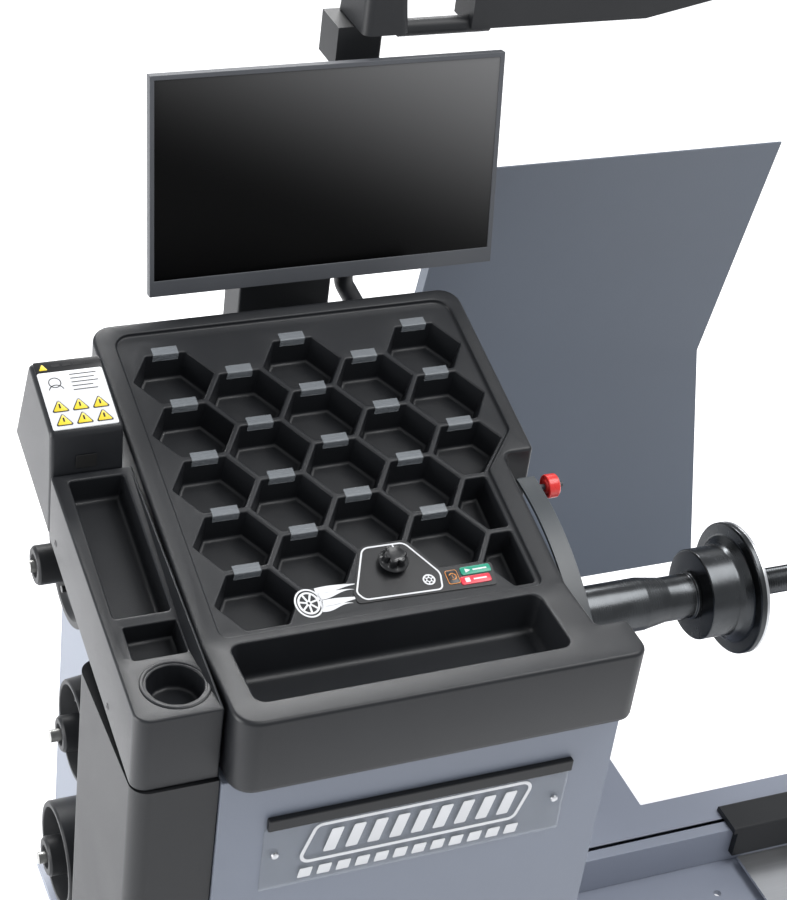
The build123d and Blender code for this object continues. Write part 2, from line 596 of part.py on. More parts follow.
def make_monitor():
    wide, low = SCREEN_W / 2 + 7, 24.0
    high = low + SCREEN_H + 7
    glass = (-SCREEN_W / 2, SCREEN_W / 2, low, low + SCREEN_H)
    bezel = on_screen(-wide, wide, 0, high, -14, 0) - on_screen(*glass, -6, 1)
    parts["monitor_bezel"] = bezel
    parts["monitor_screen"] = on_screen(*glass, -6, -1.5)
    back = on_screen(4 - wide, wide - 4, 4, high - 4, -24, -14)
    parts["monitor_shell"] = back + on_screen(-130, 130, 60, 260, -42, -24)
    tilt = on_screen(-50, 50, 110, 210, -46, -42)
    tilt += on_screen(-34, -27, 148, 172, -66, -46) + on_screen(27, 34, 148, 172, -66, -46)
    parts["monitor_tilt_plate"] = tilt + screen_place(0, 160, -62) * Rot(0, 90, 0) * Cylinder(6, 68)
    hinge = screen_place(0, 160, -62).position
    head = rod_x(SCREEN_X - 25, SCREEN_X + 25, hinge.Y, hinge.Z, 15)
    head += block(SCREEN_X - 25, SCREEN_X + 25, hinge.Y, PED_Y1, hinge.Z - 12, hinge.Z + 12)
    head -= rod_x(0, 250, hinge.Y, hinge.Z, 6.05)
    foot = block(PED_X0, PED_X1, CAB_Y1, PED_Y0, 800, 1020)
    post = block(PED_X0, PED_X1, PED_Y0, PED_Y1, 800, 1095)
    post += block(SCREEN_X - 30, SCREEN_X + 30, PED_Y1 - 12, PED_Y1, 1095, hinge.Z + 30)
    parts["pedestal"] = foot + post + head


# ---------------------------------------------------------------- mast and boom
def make_mast():
    """Bent tube on the cabinet's back, with a collar under the head that turns on it."""
    foot_x = MAST_X + 58
    path = FilletPolyline((foot_x, MAST_Y, 790), (foot_x, MAST_Y, 930), (MAST_X, MAST_Y, 1027),
                          (MAST_X, MAST_Y, HEAD_Z + 29), radius=40)
    tube = sweep(Plane(origin=(foot_x, MAST_Y, 790), z_dir=(0, 0, 1)) * Circle(MAST_R), path=path)
    tube += block(225, 283, CAB_Y1, MAST_Y + 20, 800, 860)
    tube += block(140, MAST_X + 8, MAST_Y - 16, MAST_Y + 50, HEAD_Z - 66, HEAD_Z - 2)
    parts["mast_tube"] = tube
    cover = loft([Pos(MAST_X, MAST_Y, HEAD_Z) * RectangleRounded(72, 110, 14),
                  Pos(MAST_X, MAST_Y + 4, HEAD_Z + 62) * RectangleRounded(64, 98, 14)])
    cover -= rod_z(MAST_X, MAST_Y, HEAD_Z - 10, HEAD_Z + 32, MAST_R + 0.06)
    parts["mast_head"] = cover - rod_x(MAST_X + 28, 372, BOOM_Y, BOOM_Z, 13)


def make_boom():
    """Overhead sensor arm: a tube, then a long bar that tapers up at its end."""
    parts["boom_tube"] = rod_x(MAST_X + 28, 372, BOOM_Y, BOOM_Z, 13)
    low, top, front = BOOM_Z - 1.5, BOOM_Z + 58, BOOM_Y - 18
    profile = [(338, low), (628, low), (800, low + 36), (800, top), (338, top)]
    back = Plane(origin=(0, front + 64, 0), x_dir=(1, 0, 0), z_dir=(0, -1, 0))
    face = back * make_face(Polyline(*profile, close=True))
    bar = extrude(face, amount=64, dir=(0, -1, 0))
    parts["boom_housing"] = bar - rod_x(330, 372, BOOM_Y, BOOM_Z, 13)


# ---------------------------------------------------------------- accessories on the left wall
def make_accessories():
    """Pegs on the left wall, and the clamping pieces stored on them."""
    places = {"upper": (107, 880), "middle": (-21, 680), "lower": (20, 400)}
    pegs = [rod_x(-398, CAB_X0, y, z, 9) + rod_x(CAB_X0 - 6, CAB_X0, y, z, 22) for y, z in places.values()]
    parts["accessory_pegs"] = Compound(children=pegs)
    y, z = places["upper"]
    flange = [(-330, 9.3), (-330, 96), (-346, 96), (-346, 84),
              (-338, 80), (-338, 28), (-392, 28), (-392, 9.3)]
    parts["hung_flange"] = revolve_x(flange, y, z)
    y, z = places["middle"]
    cup = [(-325, 9.3), (-325, 78), (-366, 74), (-366, 66), (-333, 62), (-333, 26), (-385, 26), (-385, 9.3)]
    parts["hung_cup"] = revolve_x(cup, y, z)
    y, z = places["lower"]
    cone = [(-325, 9.3), (-325, 80), (-372, 80), (-372, 70),
            (-333, 66), (-333, 30), (-388, 30), (-388, 9.3)]
    parts["hung_sleeve"] = revolve_x(cone, y, z)


# ---------------------------------------------------------------- wheel lift
def make_lift():
    """Carriage astride the rail's front edge, with an upright column that the platform climbs."""
    x0, x1 = LIFT_X, LIFT_X + 284
    gap, top = 1.0, BASE_H + 13
    cap = block(x0, x1, 34, 97, BASE_H + gap, top)
    cap = fillet(cap.edges().filter_by(Axis.X).group_by(Axis.Z)[-1], 5)
    front = block(x0 + 8, x1, 34, RAIL_Y0 - gap, 34, BASE_H + 4)
    middle = (SLOT_Y0 + SLOT_Y1) / 2
    key = block(x0 + 40, x1 - 40, middle - 2.5, middle + 2.5, BASE_H - 12, BASE_H + 3)
    key += block(x0 + 40, x1 - 40, middle - 12, middle + 12, BASE_H - 16, BASE_H - 7)
    column = block(x1 - 56, x1 - 6, -8, 42, 34, 640) - block(x1 - 52, x1 - 10, -4, 38, 120, 636)
    parts["lift_carriage"] = cap + front + key + column
    sleeve = block(x1 - 66, x1 + 4, -18, 52, 116, 190) - block(x1 - 56.1, x1 - 5.9, -8.1, 42.1, 110, 200)
    plate = block(x0 + 18, x1 - 70, -262, 32, 26, 32) + block(x1 - 70, x1 + 4, -60, -10, 26, 32)
    plate += block(x1 - 66, x1 + 4, -18, -10, 26, 190)
    parts["lift_platform"] = plate + sleeve


def main():
    os.makedirs("parts", exist_ok=True)
    for make in (make_base, make_cabinet, make_column_cover, make_placard, make_tray, make_cell_grid,
                 make_cell_tags, make_controls, make_console, make_notice_box, make_spindle, make_drive,
                 make_electrics, make_gauge,
                 make_guard, make_monitor, make_mast, make_boom, make_accessories, make_lift):
        make()
    for name, shape in parts.items():
        export_step(shape, f"parts/{name}.step")
    print(len(parts), "nodes")


main()
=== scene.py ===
from math import atan2, cos, hypot, pi, radians, sin, tan

import bpy
import numpy as np
from mathutils import Matrix, Vector
from mathutils.geometry import delaunay_2d_cdt


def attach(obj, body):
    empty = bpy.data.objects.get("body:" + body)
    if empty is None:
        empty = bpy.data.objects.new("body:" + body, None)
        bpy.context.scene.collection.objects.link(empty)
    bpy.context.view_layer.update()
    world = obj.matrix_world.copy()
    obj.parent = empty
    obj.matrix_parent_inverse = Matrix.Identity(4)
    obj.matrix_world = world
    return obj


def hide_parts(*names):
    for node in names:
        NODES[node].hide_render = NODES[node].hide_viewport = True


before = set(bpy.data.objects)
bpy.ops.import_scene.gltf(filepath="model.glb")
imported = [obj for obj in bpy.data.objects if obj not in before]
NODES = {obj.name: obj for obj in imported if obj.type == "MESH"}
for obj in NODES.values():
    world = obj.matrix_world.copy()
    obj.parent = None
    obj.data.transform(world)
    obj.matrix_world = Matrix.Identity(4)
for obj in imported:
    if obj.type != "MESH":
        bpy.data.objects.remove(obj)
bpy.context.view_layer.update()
MM = 0.001                      # lengths below are in millimetres, meshes in metres


# ---------------------------------------------------------------- surfaces from outlines
def outline(corners, inset=0.0, steps=5, pitch=1e9):
    """Closed outline through corners (x, y, radius), moved inwards by inset.

    Each corner becomes an arc of steps + 1 points: its centre lies on the corner's bisector, a radius in
    from both edges. An inward move shrinks the radius of an outer corner and grows that of an inner one.
    Long edges are cut into equal lengths of about pitch, the same number whatever the inset.
    """
    c = np.array(corners, float)
    p, r = c[:, :2], c[:, 2]
    along = np.roll(p, -1, 0) - p
    span = np.hypot(*along.T)
    out = along / span[:, None]
    come = np.roll(out, 1, 0)
    side = np.sign(np.sum(p[:, 0] * np.roll(p[:, 1], -1) - p[:, 1] * np.roll(p[:, 0], -1)))
    n_in, n_out = (side * np.stack([-e[:, 1], e[:, 0]], 1) for e in (come, out))
    turn = side * np.arctan2(come[:, 0] * out[:, 1] - come[:, 1] * out[:, 0], np.sum(come * out, 1))
    bend = np.where(turn < 0, -1.0, 1.0)
    rad = np.maximum(r - inset * bend, 0.02)
    bisector = (n_in + n_out) / (1 + np.sum(n_in * n_out, 1))[:, None]
    centre = p + bisector * (inset + rad * bend)[:, None]
    angle = np.linspace(0, 1, steps + 1)[None, :] * (turn * side)[:, None]
    arm = -n_in * (rad * bend)[:, None]
    x = centre[:, :1] + arm[:, :1] * np.cos(angle) - arm[:, 1:] * np.sin(angle)
    y = centre[:, 1:] + arm[:, :1] * np.sin(angle) + arm[:, 1:] * np.cos(angle)
    arcs = np.stack([x, y], 2)
    pieces = []
    for i, arc in enumerate(arcs):
        pieces.append(arc)
        cuts = max(1, int(span[i] / pitch))
        t = np.linspace(0, 1, cuts + 1)[1:-1, None]
        pieces.append(arc[-1] + (arcs[(i + 1) % len(arcs)][0] - arc[-1]) * t)
    return np.concatenate(pieces)


def rectangle(x0, x1, y0, y1, r):
    return [(x0, y0, r), (x1, y0, r), (x1, y1, r), (x0, y1, r)]


def quarter(inset, height, r, steps=5, down=True, inward=True):
    """Rounded edge as (inset, height) steps: a quarter circle of radius r between two faces."""
    t = np.linspace(0, pi / 2, steps + 1)
    a = inset + (1 if inward else -1) * r * np.sin(t)
    h = height + (-1 if down else 1) * r * (1 - np.cos(t))
    return list(zip(a, h))


def inside(points, poly):
    """True for each point in the polygon, by counting the edges that a ray to the right crosses."""
    x, y = points[:, :1], points[:, 1:]
    ax, ay = poly[:, 0], poly[:, 1]
    bx, by = np.roll(ax, -1), np.roll(ay, -1)
    crosses = (ay > y) != (by > y)
    at = ax + (y - ay) / np.where(by == ay, 1e-12, by - ay) * (bx - ax)
    return np.sum(crosses & (x < at), 1) % 2 == 1


def flat_fill(outer, holes, pitch, crease=()):
    """Triangles between an outline and its holes, with inner points every pitch and edges along a crease."""
    loops = [outer, *holes]
    edges, start = [], 0
    for loop in loops:
        n = len(loop)
        edges += [(start + i, start + (i + 1) % n) for i in range(n)]
        start += n
    if len(crease):
        edges += [(start + i, start + i + 1) for i in range(len(crease) - 1)]
        loops.append(crease)
    points = np.concatenate(loops)
    lo, hi = outer.min(0), outer.max(0)
    gx, gy = (np.arange(lo[k] + pitch / 2, hi[k], pitch) for k in (0, 1))
    grid = np.stack(np.meshgrid(gx, gy), 2).reshape(-1, 2)
    keep = inside(grid, outer)
    for hole in holes:
        keep &= ~inside(grid, hole)
    grid = grid[keep]
    near = np.array([np.min(np.hypot(*(points - g).T)) for g in grid]) if len(grid) else np.zeros(0)
    grid = grid[near > pitch * 0.35] if len(grid) else grid
    verts = [Vector(p) for p in np.concatenate([points, grid])]
    found = delaunay_2d_cdt(verts, edges, [], 0, 1e-5)
    v = np.array([tuple(p) for p in found[0]])
    f = np.array([t for t in found[2] if len(t) == 3])
    mid = v[f].mean(1)
    keep = inside(mid, outer)
    for hole in holes:
        keep &= ~inside(mid, hole)
    return v, f[keep]


class Form:
    """Gathers the surfaces of one piece, then makes its mesh."""

    def __init__(self):
        self.verts, self.faces, self.count = [], [], 0

    def add(self, verts, faces):
        verts = np.asarray(verts, float).reshape(-1, 3)
        self.faces += [tuple(int(i) + self.count for i in f) for f in faces]
        self.verts.append(verts)
        self.count += len(verts)
        return self

    def skin(self, rings, caps=(True, True), loop=True):
        """Quads between successive rings of equal count, with flat caps on the first and last."""
        rings = np.asarray(rings, float)
        k, n = rings.shape[:2]
        idx = np.arange(k * n).reshape(k, n)
        a = idx if loop else idx[:, :-1]
        b = np.roll(idx, -1, 1) if loop else idx[:, 1:]
        quads = np.stack([a[:-1], b[:-1], b[1:], a[1:]], 2).reshape(-1, 4)
        faces = [tuple(q) for q in quads]
        if caps[0]:
            faces.append(tuple(idx[0][::-1]))
        if caps[1]:
            faces.append(tuple(idx[-1]))
        return self.add(rings.reshape(-1, 3), faces)

    def grid(self, points, loop_u=False, loop_v=False):
        """Quads over a grid of points (m, n, 3), joined round in either direction if asked."""
        points = np.asarray(points, float)
        m, n = points.shape[:2]
        idx = np.arange(m * n).reshape(m, n)
        if loop_u:
            idx = np.vstack([idx, idx[:1]])
        if loop_v:
            idx = np.hstack([idx, idx[:, :1]])
        quads = np.stack([idx[:-1, :-1], idx[:-1, 1:], idx[1:, 1:], idx[1:, :-1]], 2).reshape(-1, 4)
        return self.add(points.reshape(-1, 3), quads)

    def piece(self, name, look, body="machine", replaces=(), slot=None, sharp=38, weld=0.02):
        """Welds the surfaces, turns their faces outwards, and hands the piece to its body."""
        import bmesh
        mesh = bpy.data.meshes.new(name)
        mesh.from_pydata((np.concatenate(self.verts) * MM).tolist(), [], self.faces)
        bm = bmesh.new()
        bm.from_mesh(mesh)
        bmesh.ops.remove_doubles(bm, verts=bm.verts, dist=weld * MM)
        bmesh.ops.dissolve_degenerate(bm, edges=bm.edges, dist=1e-6)
        bmesh.ops.recalc_face_normals(bm, faces=bm.faces)
        bm.to_mesh(mesh)
        bm.free()
        mesh.polygons.foreach_set("use_smooth", np.ones(len(mesh.polygons), bool))
        mesh.set_sharp_from_angle(angle=radians(sharp))
        mesh.materials.append(look)
        obj = bpy.data.objects.new(name, mesh)
        bpy.context.collection.objects.link(obj)
        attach(obj, body)
        if replaces:
            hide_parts(*replaces)
        return obj


def to_xyz(points, a=0, b=1, c=2):
    """Puts local columns (first, second, height) onto machine axes a, b and c."""
    points = np.asarray(points, float)
    out = np.empty_like(points)
    out[..., a], out[..., b], out[..., c] = points[..., 0], points[..., 1], points[..., 2]
    return out


def upright(points):
    return np.asarray(points, float)


def across(points):
    """Outline in (y, z), height along x."""
    return to_xyz(points, 1, 2, 0)


def frontal(points):
    """Outline in (x, z), height along y."""
    return to_xyz(points, 0, 2, 1)


def moulding(form, corners, profile, place=upright, caps=(True, True), steps=5, pitch=1e9):
    """Carries an outline through (inset, height) steps: rounded edges, drafted walls and flat ends."""
    rings = []
    for inset, height in profile:
        loop = outline(corners, inset, steps, pitch)
        rings.append(np.column_stack([loop, np.full(len(loop), height)]))
    return form.skin(place(np.array(rings)), caps)


def pad(low, high, r, r2=None):
    """Profile of a block with rounded ends: low end radius r, high end radius r2."""
    r2 = r if r2 is None else r2
    lower = [(r * (1 - sin(t)), low + r * (1 - cos(t))) for t in np.linspace(0, pi / 2, 5)]
    upper = [(r2 * (1 - sin(t)), high - r2 * (1 - cos(t))) for t in np.linspace(pi / 2, 0, 5)]
    support = min(r, r2) * 0.4 + 0.3
    return [(r + support, low)] + lower + upper + [(r2 + support, high)]


def round_corners(points, steps=4):
    """Open line through (x, r, radius) corners, each replaced by an arc of the given radius."""
    pts = [np.array(p[:2], float) for p in points]
    out = [pts[0]]
    for i in range(1, len(pts) - 1):
        rad = points[i][2] if len(points[i]) > 2 else 0
        before, after = pts[i - 1] - pts[i], pts[i + 1] - pts[i]
        lb, la = np.hypot(*before), np.hypot(*after)
        before, after = before / lb, after / la
        half = 0.5 * np.arccos(np.clip(before @ after, -1, 1))
        if rad <= 0 or half > pi / 2 - 0.01:
            out.append(pts[i])
            continue
        reach = min(rad / tan(half), 0.49 * lb, 0.49 * la)
        rad = reach * tan(half)
        centre = pts[i] + (before + after) / np.hypot(*(before + after)) * rad / sin(half)
        a, b = pts[i] + before * reach - centre, pts[i] + after * reach - centre
        sweep = atan2(a[0] * b[1] - a[1] * b[0], a @ b)
        for t in np.linspace(0, sweep, steps + 1):
            out.append(centre + [a[0] * cos(t) - a[1] * sin(t), a[0] * sin(t) + a[1] * cos(t)])
    out.append(pts[-1])
    return np.array(out)


def turned(form, profile, y, z, sides=96, steps=4, closed=False):
    """Profile of (x, r, corner radius) turned about the line along X through (y, z)."""
    line = round_corners(profile, steps)
    t = np.linspace(0, 2 * pi, sides, endpoint=False)
    rings = np.stack([np.repeat(line[:, :1], sides, 1), y + line[:, 1:] * np.cos(t),
                      z + line[:, 1:] * np.sin(t)], 2)
    if closed:
        return form.grid(rings, loop_u=True, loop_v=True)
    return form.skin(rings, caps=(line[0][1] > 0.05, line[-1][1] > 0.05))


def tube(form, path, r, sides=24, closed_ends=True):
    """Round tube along a path of points: rings square to the local direction, turned without twist."""
    path = np.asarray(path, float)
    ahead = np.gradient(path, axis=0)
    ahead /= np.linalg.norm(ahead, axis=1)[:, None]
    up = np.array([0.13, 0.31, 0.94])
    right = np.cross(ahead[0], up)
    t = np.linspace(0, 2 * pi, sides, endpoint=False)
    rings = []
    for point, direction in zip(path, ahead):
        right = right - direction * (right @ direction)
        right /= np.linalg.norm(right)
        top = np.cross(right, direction)
        rings.append(point + r * (np.cos(t)[:, None] * right + np.sin(t)[:, None] * top))
    return form.skin(np.array(rings), (closed_ends, closed_ends))


# ---------------------------------------------------------------- shader kit
class Value:
    """A shader socket with arithmetic: each operator adds one Math node."""

    def __init__(self, look, socket):
        self.look, self.socket = look, socket

    def _math(self, operation, *others):
        return self.look.node("ShaderNodeMath", {"operation": operation}, dict(enumerate((self, *others))))

    def __add__(self, other): return self._math("ADD", other)
    def __mul__(self, other): return self._math("MULTIPLY", other)
    __radd__, __rmul__ = __add__, __mul__

    def above(self, limit, soft):
        """0 below the limit, 1 above it, with a soft edge."""
        return self.look.node("ShaderNodeMapRange", {"interpolation_type": "SMOOTHSTEP"},
                              {0: self, 1: limit - soft, 2: limit + soft, 3: 0.0, 4: 1.0})

    def power(self, exponent):
        return self._math("POWER", exponent)


class Look:
    """One material: a Principled shader and the pattern nodes that feed it."""

    def __init__(self, name, base, roughness, metallic=0.0, **fixed):
        self.material = bpy.data.materials.new(name)
        self.material.use_nodes = True
        self.tree = self.material.node_tree
        self.shader = self.tree.nodes["Principled BSDF"]
        self.put("Base Color", base)
        self.put("Roughness", roughness)
        self.put("Metallic", metallic)
        for key, value in fixed.items():
            self.put(key.replace("_", " "), value)

    def put(self, name, value):
        socket = self.shader.inputs[name]
        if isinstance(value, Value):
            self.tree.links.new(value.socket, socket)
        elif isinstance(value, tuple) and len(value) == 3 and socket.type == "RGBA":
            socket.default_value = (*value, 1.0)
        else:
            socket.default_value = value
        return self

    def node(self, kind, settings=None, inputs=None, out=0):
        """Adds a node: settings first, then the values or links of its sockets. Returns one output."""
        made = self.tree.nodes.new(kind)
        for key, value in (settings or {}).items():
            setattr(made, key, value)
        for key, value in (inputs or {}).items():
            if isinstance(value, Value):
                self.tree.links.new(value.socket, made.inputs[key])
            elif isinstance(value, tuple) and len(value) == 3 and made.inputs[key].type == "RGBA":
                made.inputs[key].default_value = (*value, 1.0)
            else:
                made.inputs[key].default_value = value
        return Value(self, made.outputs[out])

    def place(self, scale=(1, 1, 1)):
        at = self.node("ShaderNodeTexCoord", out=3)
        return self.node("ShaderNodeMapping", inputs={0: at, 3: scale}) if scale != (1, 1, 1) else at

    def noise(self, scale, detail=3.0, rough=0.55, stretch=(1, 1, 1)):
        return self.node("ShaderNodeTexNoise", inputs={"Vector": self.place(stretch), "Scale": scale,
                                                       "Detail": detail, "Roughness": rough})

    def blend(self, mask, first, second):
        return self.node("ShaderNodeMix", {"data_type": "RGBA"}, {0: mask, 6: first, 7: second}, out=2)

    def relief(self, height, depth, strength=1.0):
        bump = self.node("ShaderNodeBump",
                         inputs={"Height": height, "Distance": depth, "Strength": strength})
        self.put("Normal", bump)
        return self


def grained_plastic(name, base, dark, roughness=0.46, grain=0.00022, spread=0.12):
    """Moulded ABS: fine leather-like grain, slight cloudiness, a little dust in the roughness."""
    look = Look(name, base, roughness, Specular_IOR_Level=0.34)
    cloud = look.noise(7.0, 4.0)
    fine = look.noise(1150.0, 2.0, 0.6)
    look.put("Base Color", look.blend(cloud.above(0.5, 0.28), dark, base))
    look.put("Roughness", roughness - spread / 2 + spread * cloud + 0.10 * fine)
    return look.relief(fine + 0.5 * look.noise(420.0, 2.0), grain).material


def smooth_plastic(name, base, roughness=0.3, shade=0.86):
    look = Look(name, base, roughness)
    cloud = look.noise(11.0, 3.0)
    look.put("Base Color", look.blend(cloud.above(0.5, 0.3), tuple(shade * c for c in base), base))
    look.put("Roughness", roughness - 0.05 + 0.12 * cloud)
    return look.relief(look.noise(900.0, 2.0), 0.00004).material


def powder_coat(name, base, roughness=0.42, peel=0.00012):
    """Sprayed and baked paint: orange peel, faint mottling, satin gloss."""
    look = Look(name, base, roughness, Specular_IOR_Level=0.5)
    cloud = look.noise(3.1, 5.0)
    peel_map = look.noise(330.0, 2.0, 0.5)
    look.put("Base Color", look.blend(cloud.above(0.5, 0.3), tuple(0.93 * c for c in base), base))
    look.put("Roughness", roughness - 0.06 + 0.12 * cloud)
    return look.relief(peel_map + 0.4 * look.noise(1300.0, 1.0), peel, 0.8).material


def turned_steel(name, base, roughness, lines=0.00005, metallic=1.0, stretch=(900, 6, 6)):
    """Steel off the lathe: fine rings across the axis, stronger and fainter in bands."""
    look = Look(name, base, roughness, metallic)
    rings = look.noise(1.0, 3.0, 0.7, stretch)
    smudge = look.noise(23.0, 4.0)
    look.put("Base Color", look.blend(smudge.above(0.5, 0.25), tuple(0.72 * c for c in base), base))
    look.put("Roughness", roughness - 0.05 + 0.14 * smudge + 0.08 * rings)
    return look.relief(rings, lines).material


def brushed_steel(name, base, roughness, stretch=(6, 700, 700), lines=0.00004):
    look = Look(name, base, roughness, 1.0)
    brush = look.noise(1.0, 4.0, 0.7, stretch)
    smudge = look.noise(9.0, 4.0)
    look.put("Base Color", look.blend(brush, tuple(0.8 * c for c in base), base))
    look.put("Roughness", roughness - 0.06 + 0.12 * smudge + 0.1 * brush)
    return look.relief(brush, lines).material


def clear_sheet(name, tint, alpha):
    look = Look(name, tint, 0.16, Alpha=alpha, Specular_IOR_Level=0.7)
    haze = look.noise(60.0, 3.0)
    look.put("Roughness", 0.1 + 0.16 * haze)
    return look.material


def screen_face():
    """Anti-glare panel: black, with a painted reflection of bright surroundings in its colour: pale at the
    top right, fading downwards and to the left.
    """
    look = Look("screen_face", (0.003, 0.003, 0.0035), 0.2, Specular_IOR_Level=0.08)
    at = look.node("ShaderNodeSeparateXYZ", inputs={0: look.place()}, out=2)
    side = look.node("ShaderNodeSeparateXYZ", inputs={0: look.place()}, out=0)
    low, high = SCREEN_PAINTED_REFLECTION
    # Painted reflection: the base colour turns from black to pale grey where the screen would mirror a
    # bright room.
    painted_reflection = look.node("ShaderNodeMapRange", {"interpolation_type": "SMOOTHERSTEP"},
                    {0: at + 0.45 * side, 1: low, 2: high, 3: 0.0, 4: 1.0})
    look.put("Base Color", look.blend(painted_reflection, (0.0008, 0.0008, 0.0009), (0.19, 0.19, 0.192)))
    look.put("Roughness", 0.2 + 0.08 * look.noise(700.0, 1.0))
    return look.material


# Heights (z plus 0.45 x, in metres) where the painted reflection starts and where it is full.
SCREEN_PAINTED_REFLECTION = (1.22, 1.75)

LOOKS = {
    "tray": grained_plastic("tray_plastic", (0.0155, 0.0168, 0.0195), (0.0118, 0.0128, 0.015), 0.30),
    "console": grained_plastic("console_plastic", (0.017, 0.018, 0.020), (0.013, 0.0138, 0.0155), 0.38),
    "dark": grained_plastic("dark_plastic", (0.018, 0.019, 0.021), (0.013, 0.014, 0.016), 0.42, 0.00012),
    "panel": powder_coat("panel_paint", (0.195, 0.219, 0.272)),
    "guard": powder_coat("guard_paint", (0.090, 0.108, 0.139), 0.46),
    "base": powder_coat("base_paint", (0.27, 0.295, 0.36), 0.40),
    "spindle": turned_steel("black_oxide", (0.075, 0.079, 0.083), 0.2),
    "bright": brushed_steel("bright_steel", (0.62, 0.63, 0.65), 0.26),
    "zinc": brushed_steel("zinc_plate", (0.5, 0.5, 0.48), 0.32),
    "arm": smooth_plastic("arm_paint", (0.042, 0.050, 0.057), 0.38),
    "red": smooth_plastic("red_plastic", (0.78, 0.035, 0.03), 0.28),
    "green": smooth_plastic("green_print", (0.006, 0.30, 0.19), 0.32),
    "stop": smooth_plastic("red_print", (0.72, 0.03, 0.06), 0.32),
    "orange": smooth_plastic("orange_print", (0.80, 0.30, 0.06), 0.4),
    "white": smooth_plastic("white_print", (0.75, 0.76, 0.78), 0.4, 0.93),
    "overlay": smooth_plastic("overlay_film", (0.012, 0.0125, 0.014), 0.3),
    "bezel": grained_plastic("monitor_plastic", (0.085, 0.09, 0.10), (0.072, 0.076, 0.085), 0.42, 0.00006),
    "screen": screen_face(),
    "clear": clear_sheet("clear_plastic", (0.50, 0.54, 0.58), 0.2),
    "rubber": grained_plastic("rubber", (0.012, 0.012, 0.012), (0.009, 0.009, 0.009), 0.6),
    "circuit": smooth_plastic("circuit_board", (0.02, 0.16, 0.07), 0.4),
    "iron": powder_coat("cast_iron_paint", (0.055, 0.058, 0.062), 0.45, 0.0003),
    "yellow": smooth_plastic("yellow_print", (0.83, 0.62, 0.02), 0.4),
}

CAD_LOOKS = {
    "tray": "weight_tray cell_grid notice_box",
    "console": "left_console left_column_cover",
    "dark": "placard_strip pedestal mast_tube mast_head boom_tube boom_housing lift_carriage encoder_reader"
            " power_inlet",
    "overlay": "keypad_overlay control_knob brake_key",
    "panel": "front_panel cabinet_left_wall cabinet_right_wall cabinet_top_plate cabinet_rear_panel",
    "base": "base_plate base_frame",
    "guard": "guard_arm guard_panel",
    "spindle": "spindle_shaft spindle_flange",
    "bright": "bearing_outer_rings bearing_inner_rings encoder_disc force_sensors gauge_rod lift_platform"
              " knob_shaft",
    "zinc": "housing_bolts spindle_pulley motor_pulley power_supply monitor_tilt_plate accessory_pegs",
    "iron": "bearing_housing drive_motor gauge_guides hung_flange hung_cup hung_sleeve",
    "clear": "placard cell_tags",
    "green": "start_key",
    "stop": "stop_key",
    "red": "power_rocker gauge_knob",
    "arm": "gauge_arm",
    "rubber": "drive_belt",
    "circuit": "control_board",
    "bezel": "monitor_bezel monitor_shell",
    "screen": "monitor_screen",
}
EDGES = {"left_console": 2.6, "left_column_cover": 3.0, "notice_box": 5.0, "pedestal": 3.0,
         "mast_head": 3.0,
         "boom_housing": 3.0, "lift_carriage": 1.5, "front_panel": 1.6, "base_plate": 0.0,
         "base_frame": 1.6,
         "guard_panel": 0.5, "monitor_bezel": 0.9, "monitor_screen": 0.1, "monitor_shell": 2.0,
         "placard": 0.6}

for look_name, names in CAD_LOOKS.items():
    for name in names.split():
        node = NODES[name]
        node.data.materials.clear()
        node.data.materials.append(LOOKS[look_name])
        if EDGES.get(name) == 0.0:
            continue
        weld = node.modifiers.new("weld", "WELD")
        weld.merge_threshold = 0.00002
        bevel = node.modifiers.new("edges", "BEVEL")
        bevel.width = EDGES.get(name, 0.8) * MM
        bevel.segments = 3
        bevel.limit_method = "ANGLE"
        bevel.angle_limit = radians(38)
        node.modifiers.new("normals", "WEIGHTED_NORMAL").keep_sharp = False
        node.data.polygons.foreach_set("use_smooth", np.ones(len(node.data.polygons), bool))


# ---------------------------------------------------------------- places on the machine
RIM_Z, BEND_Y, SLOPE = 1000.0, -237.4, radians(14.2)
DECK_W, CELL_DEPTH = -6.0, 46.0
CELL_X, CELL_U = 94.0, 96.8
FIRST_X, FIRST_U = -176.2, 57.0


def deck(points):
    """(x, s, w) of the folded tray top: level for s below 0, sloped above it, w square to the surface."""
    p = np.asarray(points, float)
    lean = np.where(p[..., 1] > 0, SLOPE, 0.0)
    y = BEND_Y + p[..., 1] * np.cos(lean) - p[..., 2] * np.sin(lean)
    z = RIM_Z + p[..., 1] * np.sin(lean) + p[..., 2] * np.cos(lean)
    return np.stack([p[..., 0], y, z], -1)


def deck_across(points):
    """Outline in (u, w) of the slope, height along x."""
    return deck(to_xyz(points, 1, 2, 0))


# ---------------------------------------------------------------- weight tray
FIELD = [(-243, 4, 13), (207, 4, 10), (207, 205, 16), (264, 270, 14), (264, 528, 24), (-243, 528, 24)]
TRAY_EDGE = [(-272, -157.6, 32), (286, -157.6, 22), (286, -87.6, 7), (241, -87.6, 6), (239, 0, 0),
             (239, 228, 12),
             (286, 228, 7), (286, 549, 30), (-272, 549, 30), (-272, 0, 0)]


def cell_corners(x, u, inset):
    """Six corners of one flat-topped pocket of the honeycomb, moved in by a part of the wall."""
    across, half = CELL_X * 2 / 3, CELL_U / 2
    side = across - inset * hypot(half, across / 2) / half
    high = half - inset
    flat = side - high * across / 2 / half
    return [(x + side, u), (x + flat, u + high), (x - flat, u + high), (x - side, u), (x - flat, u - high),
            (x + flat, u - high)]


def keep_side(points, a, b, c):
    """The part of a convex outline where a x + b u <= c."""
    kept = []
    for i, p in enumerate(points):
        q = points[(i + 1) % len(points)]
        dp, dq = a * p[0] + b * p[1] - c, a * q[0] + b * q[1] - c
        if dp <= 0:
            kept.append(p)
        if (dp <= 0) != (dq <= 0):
            t = dp / (dp - dq)
            kept.append((p[0] + t * (q[0] - p[0]), p[1] + t * (q[1] - p[1])))
    return kept


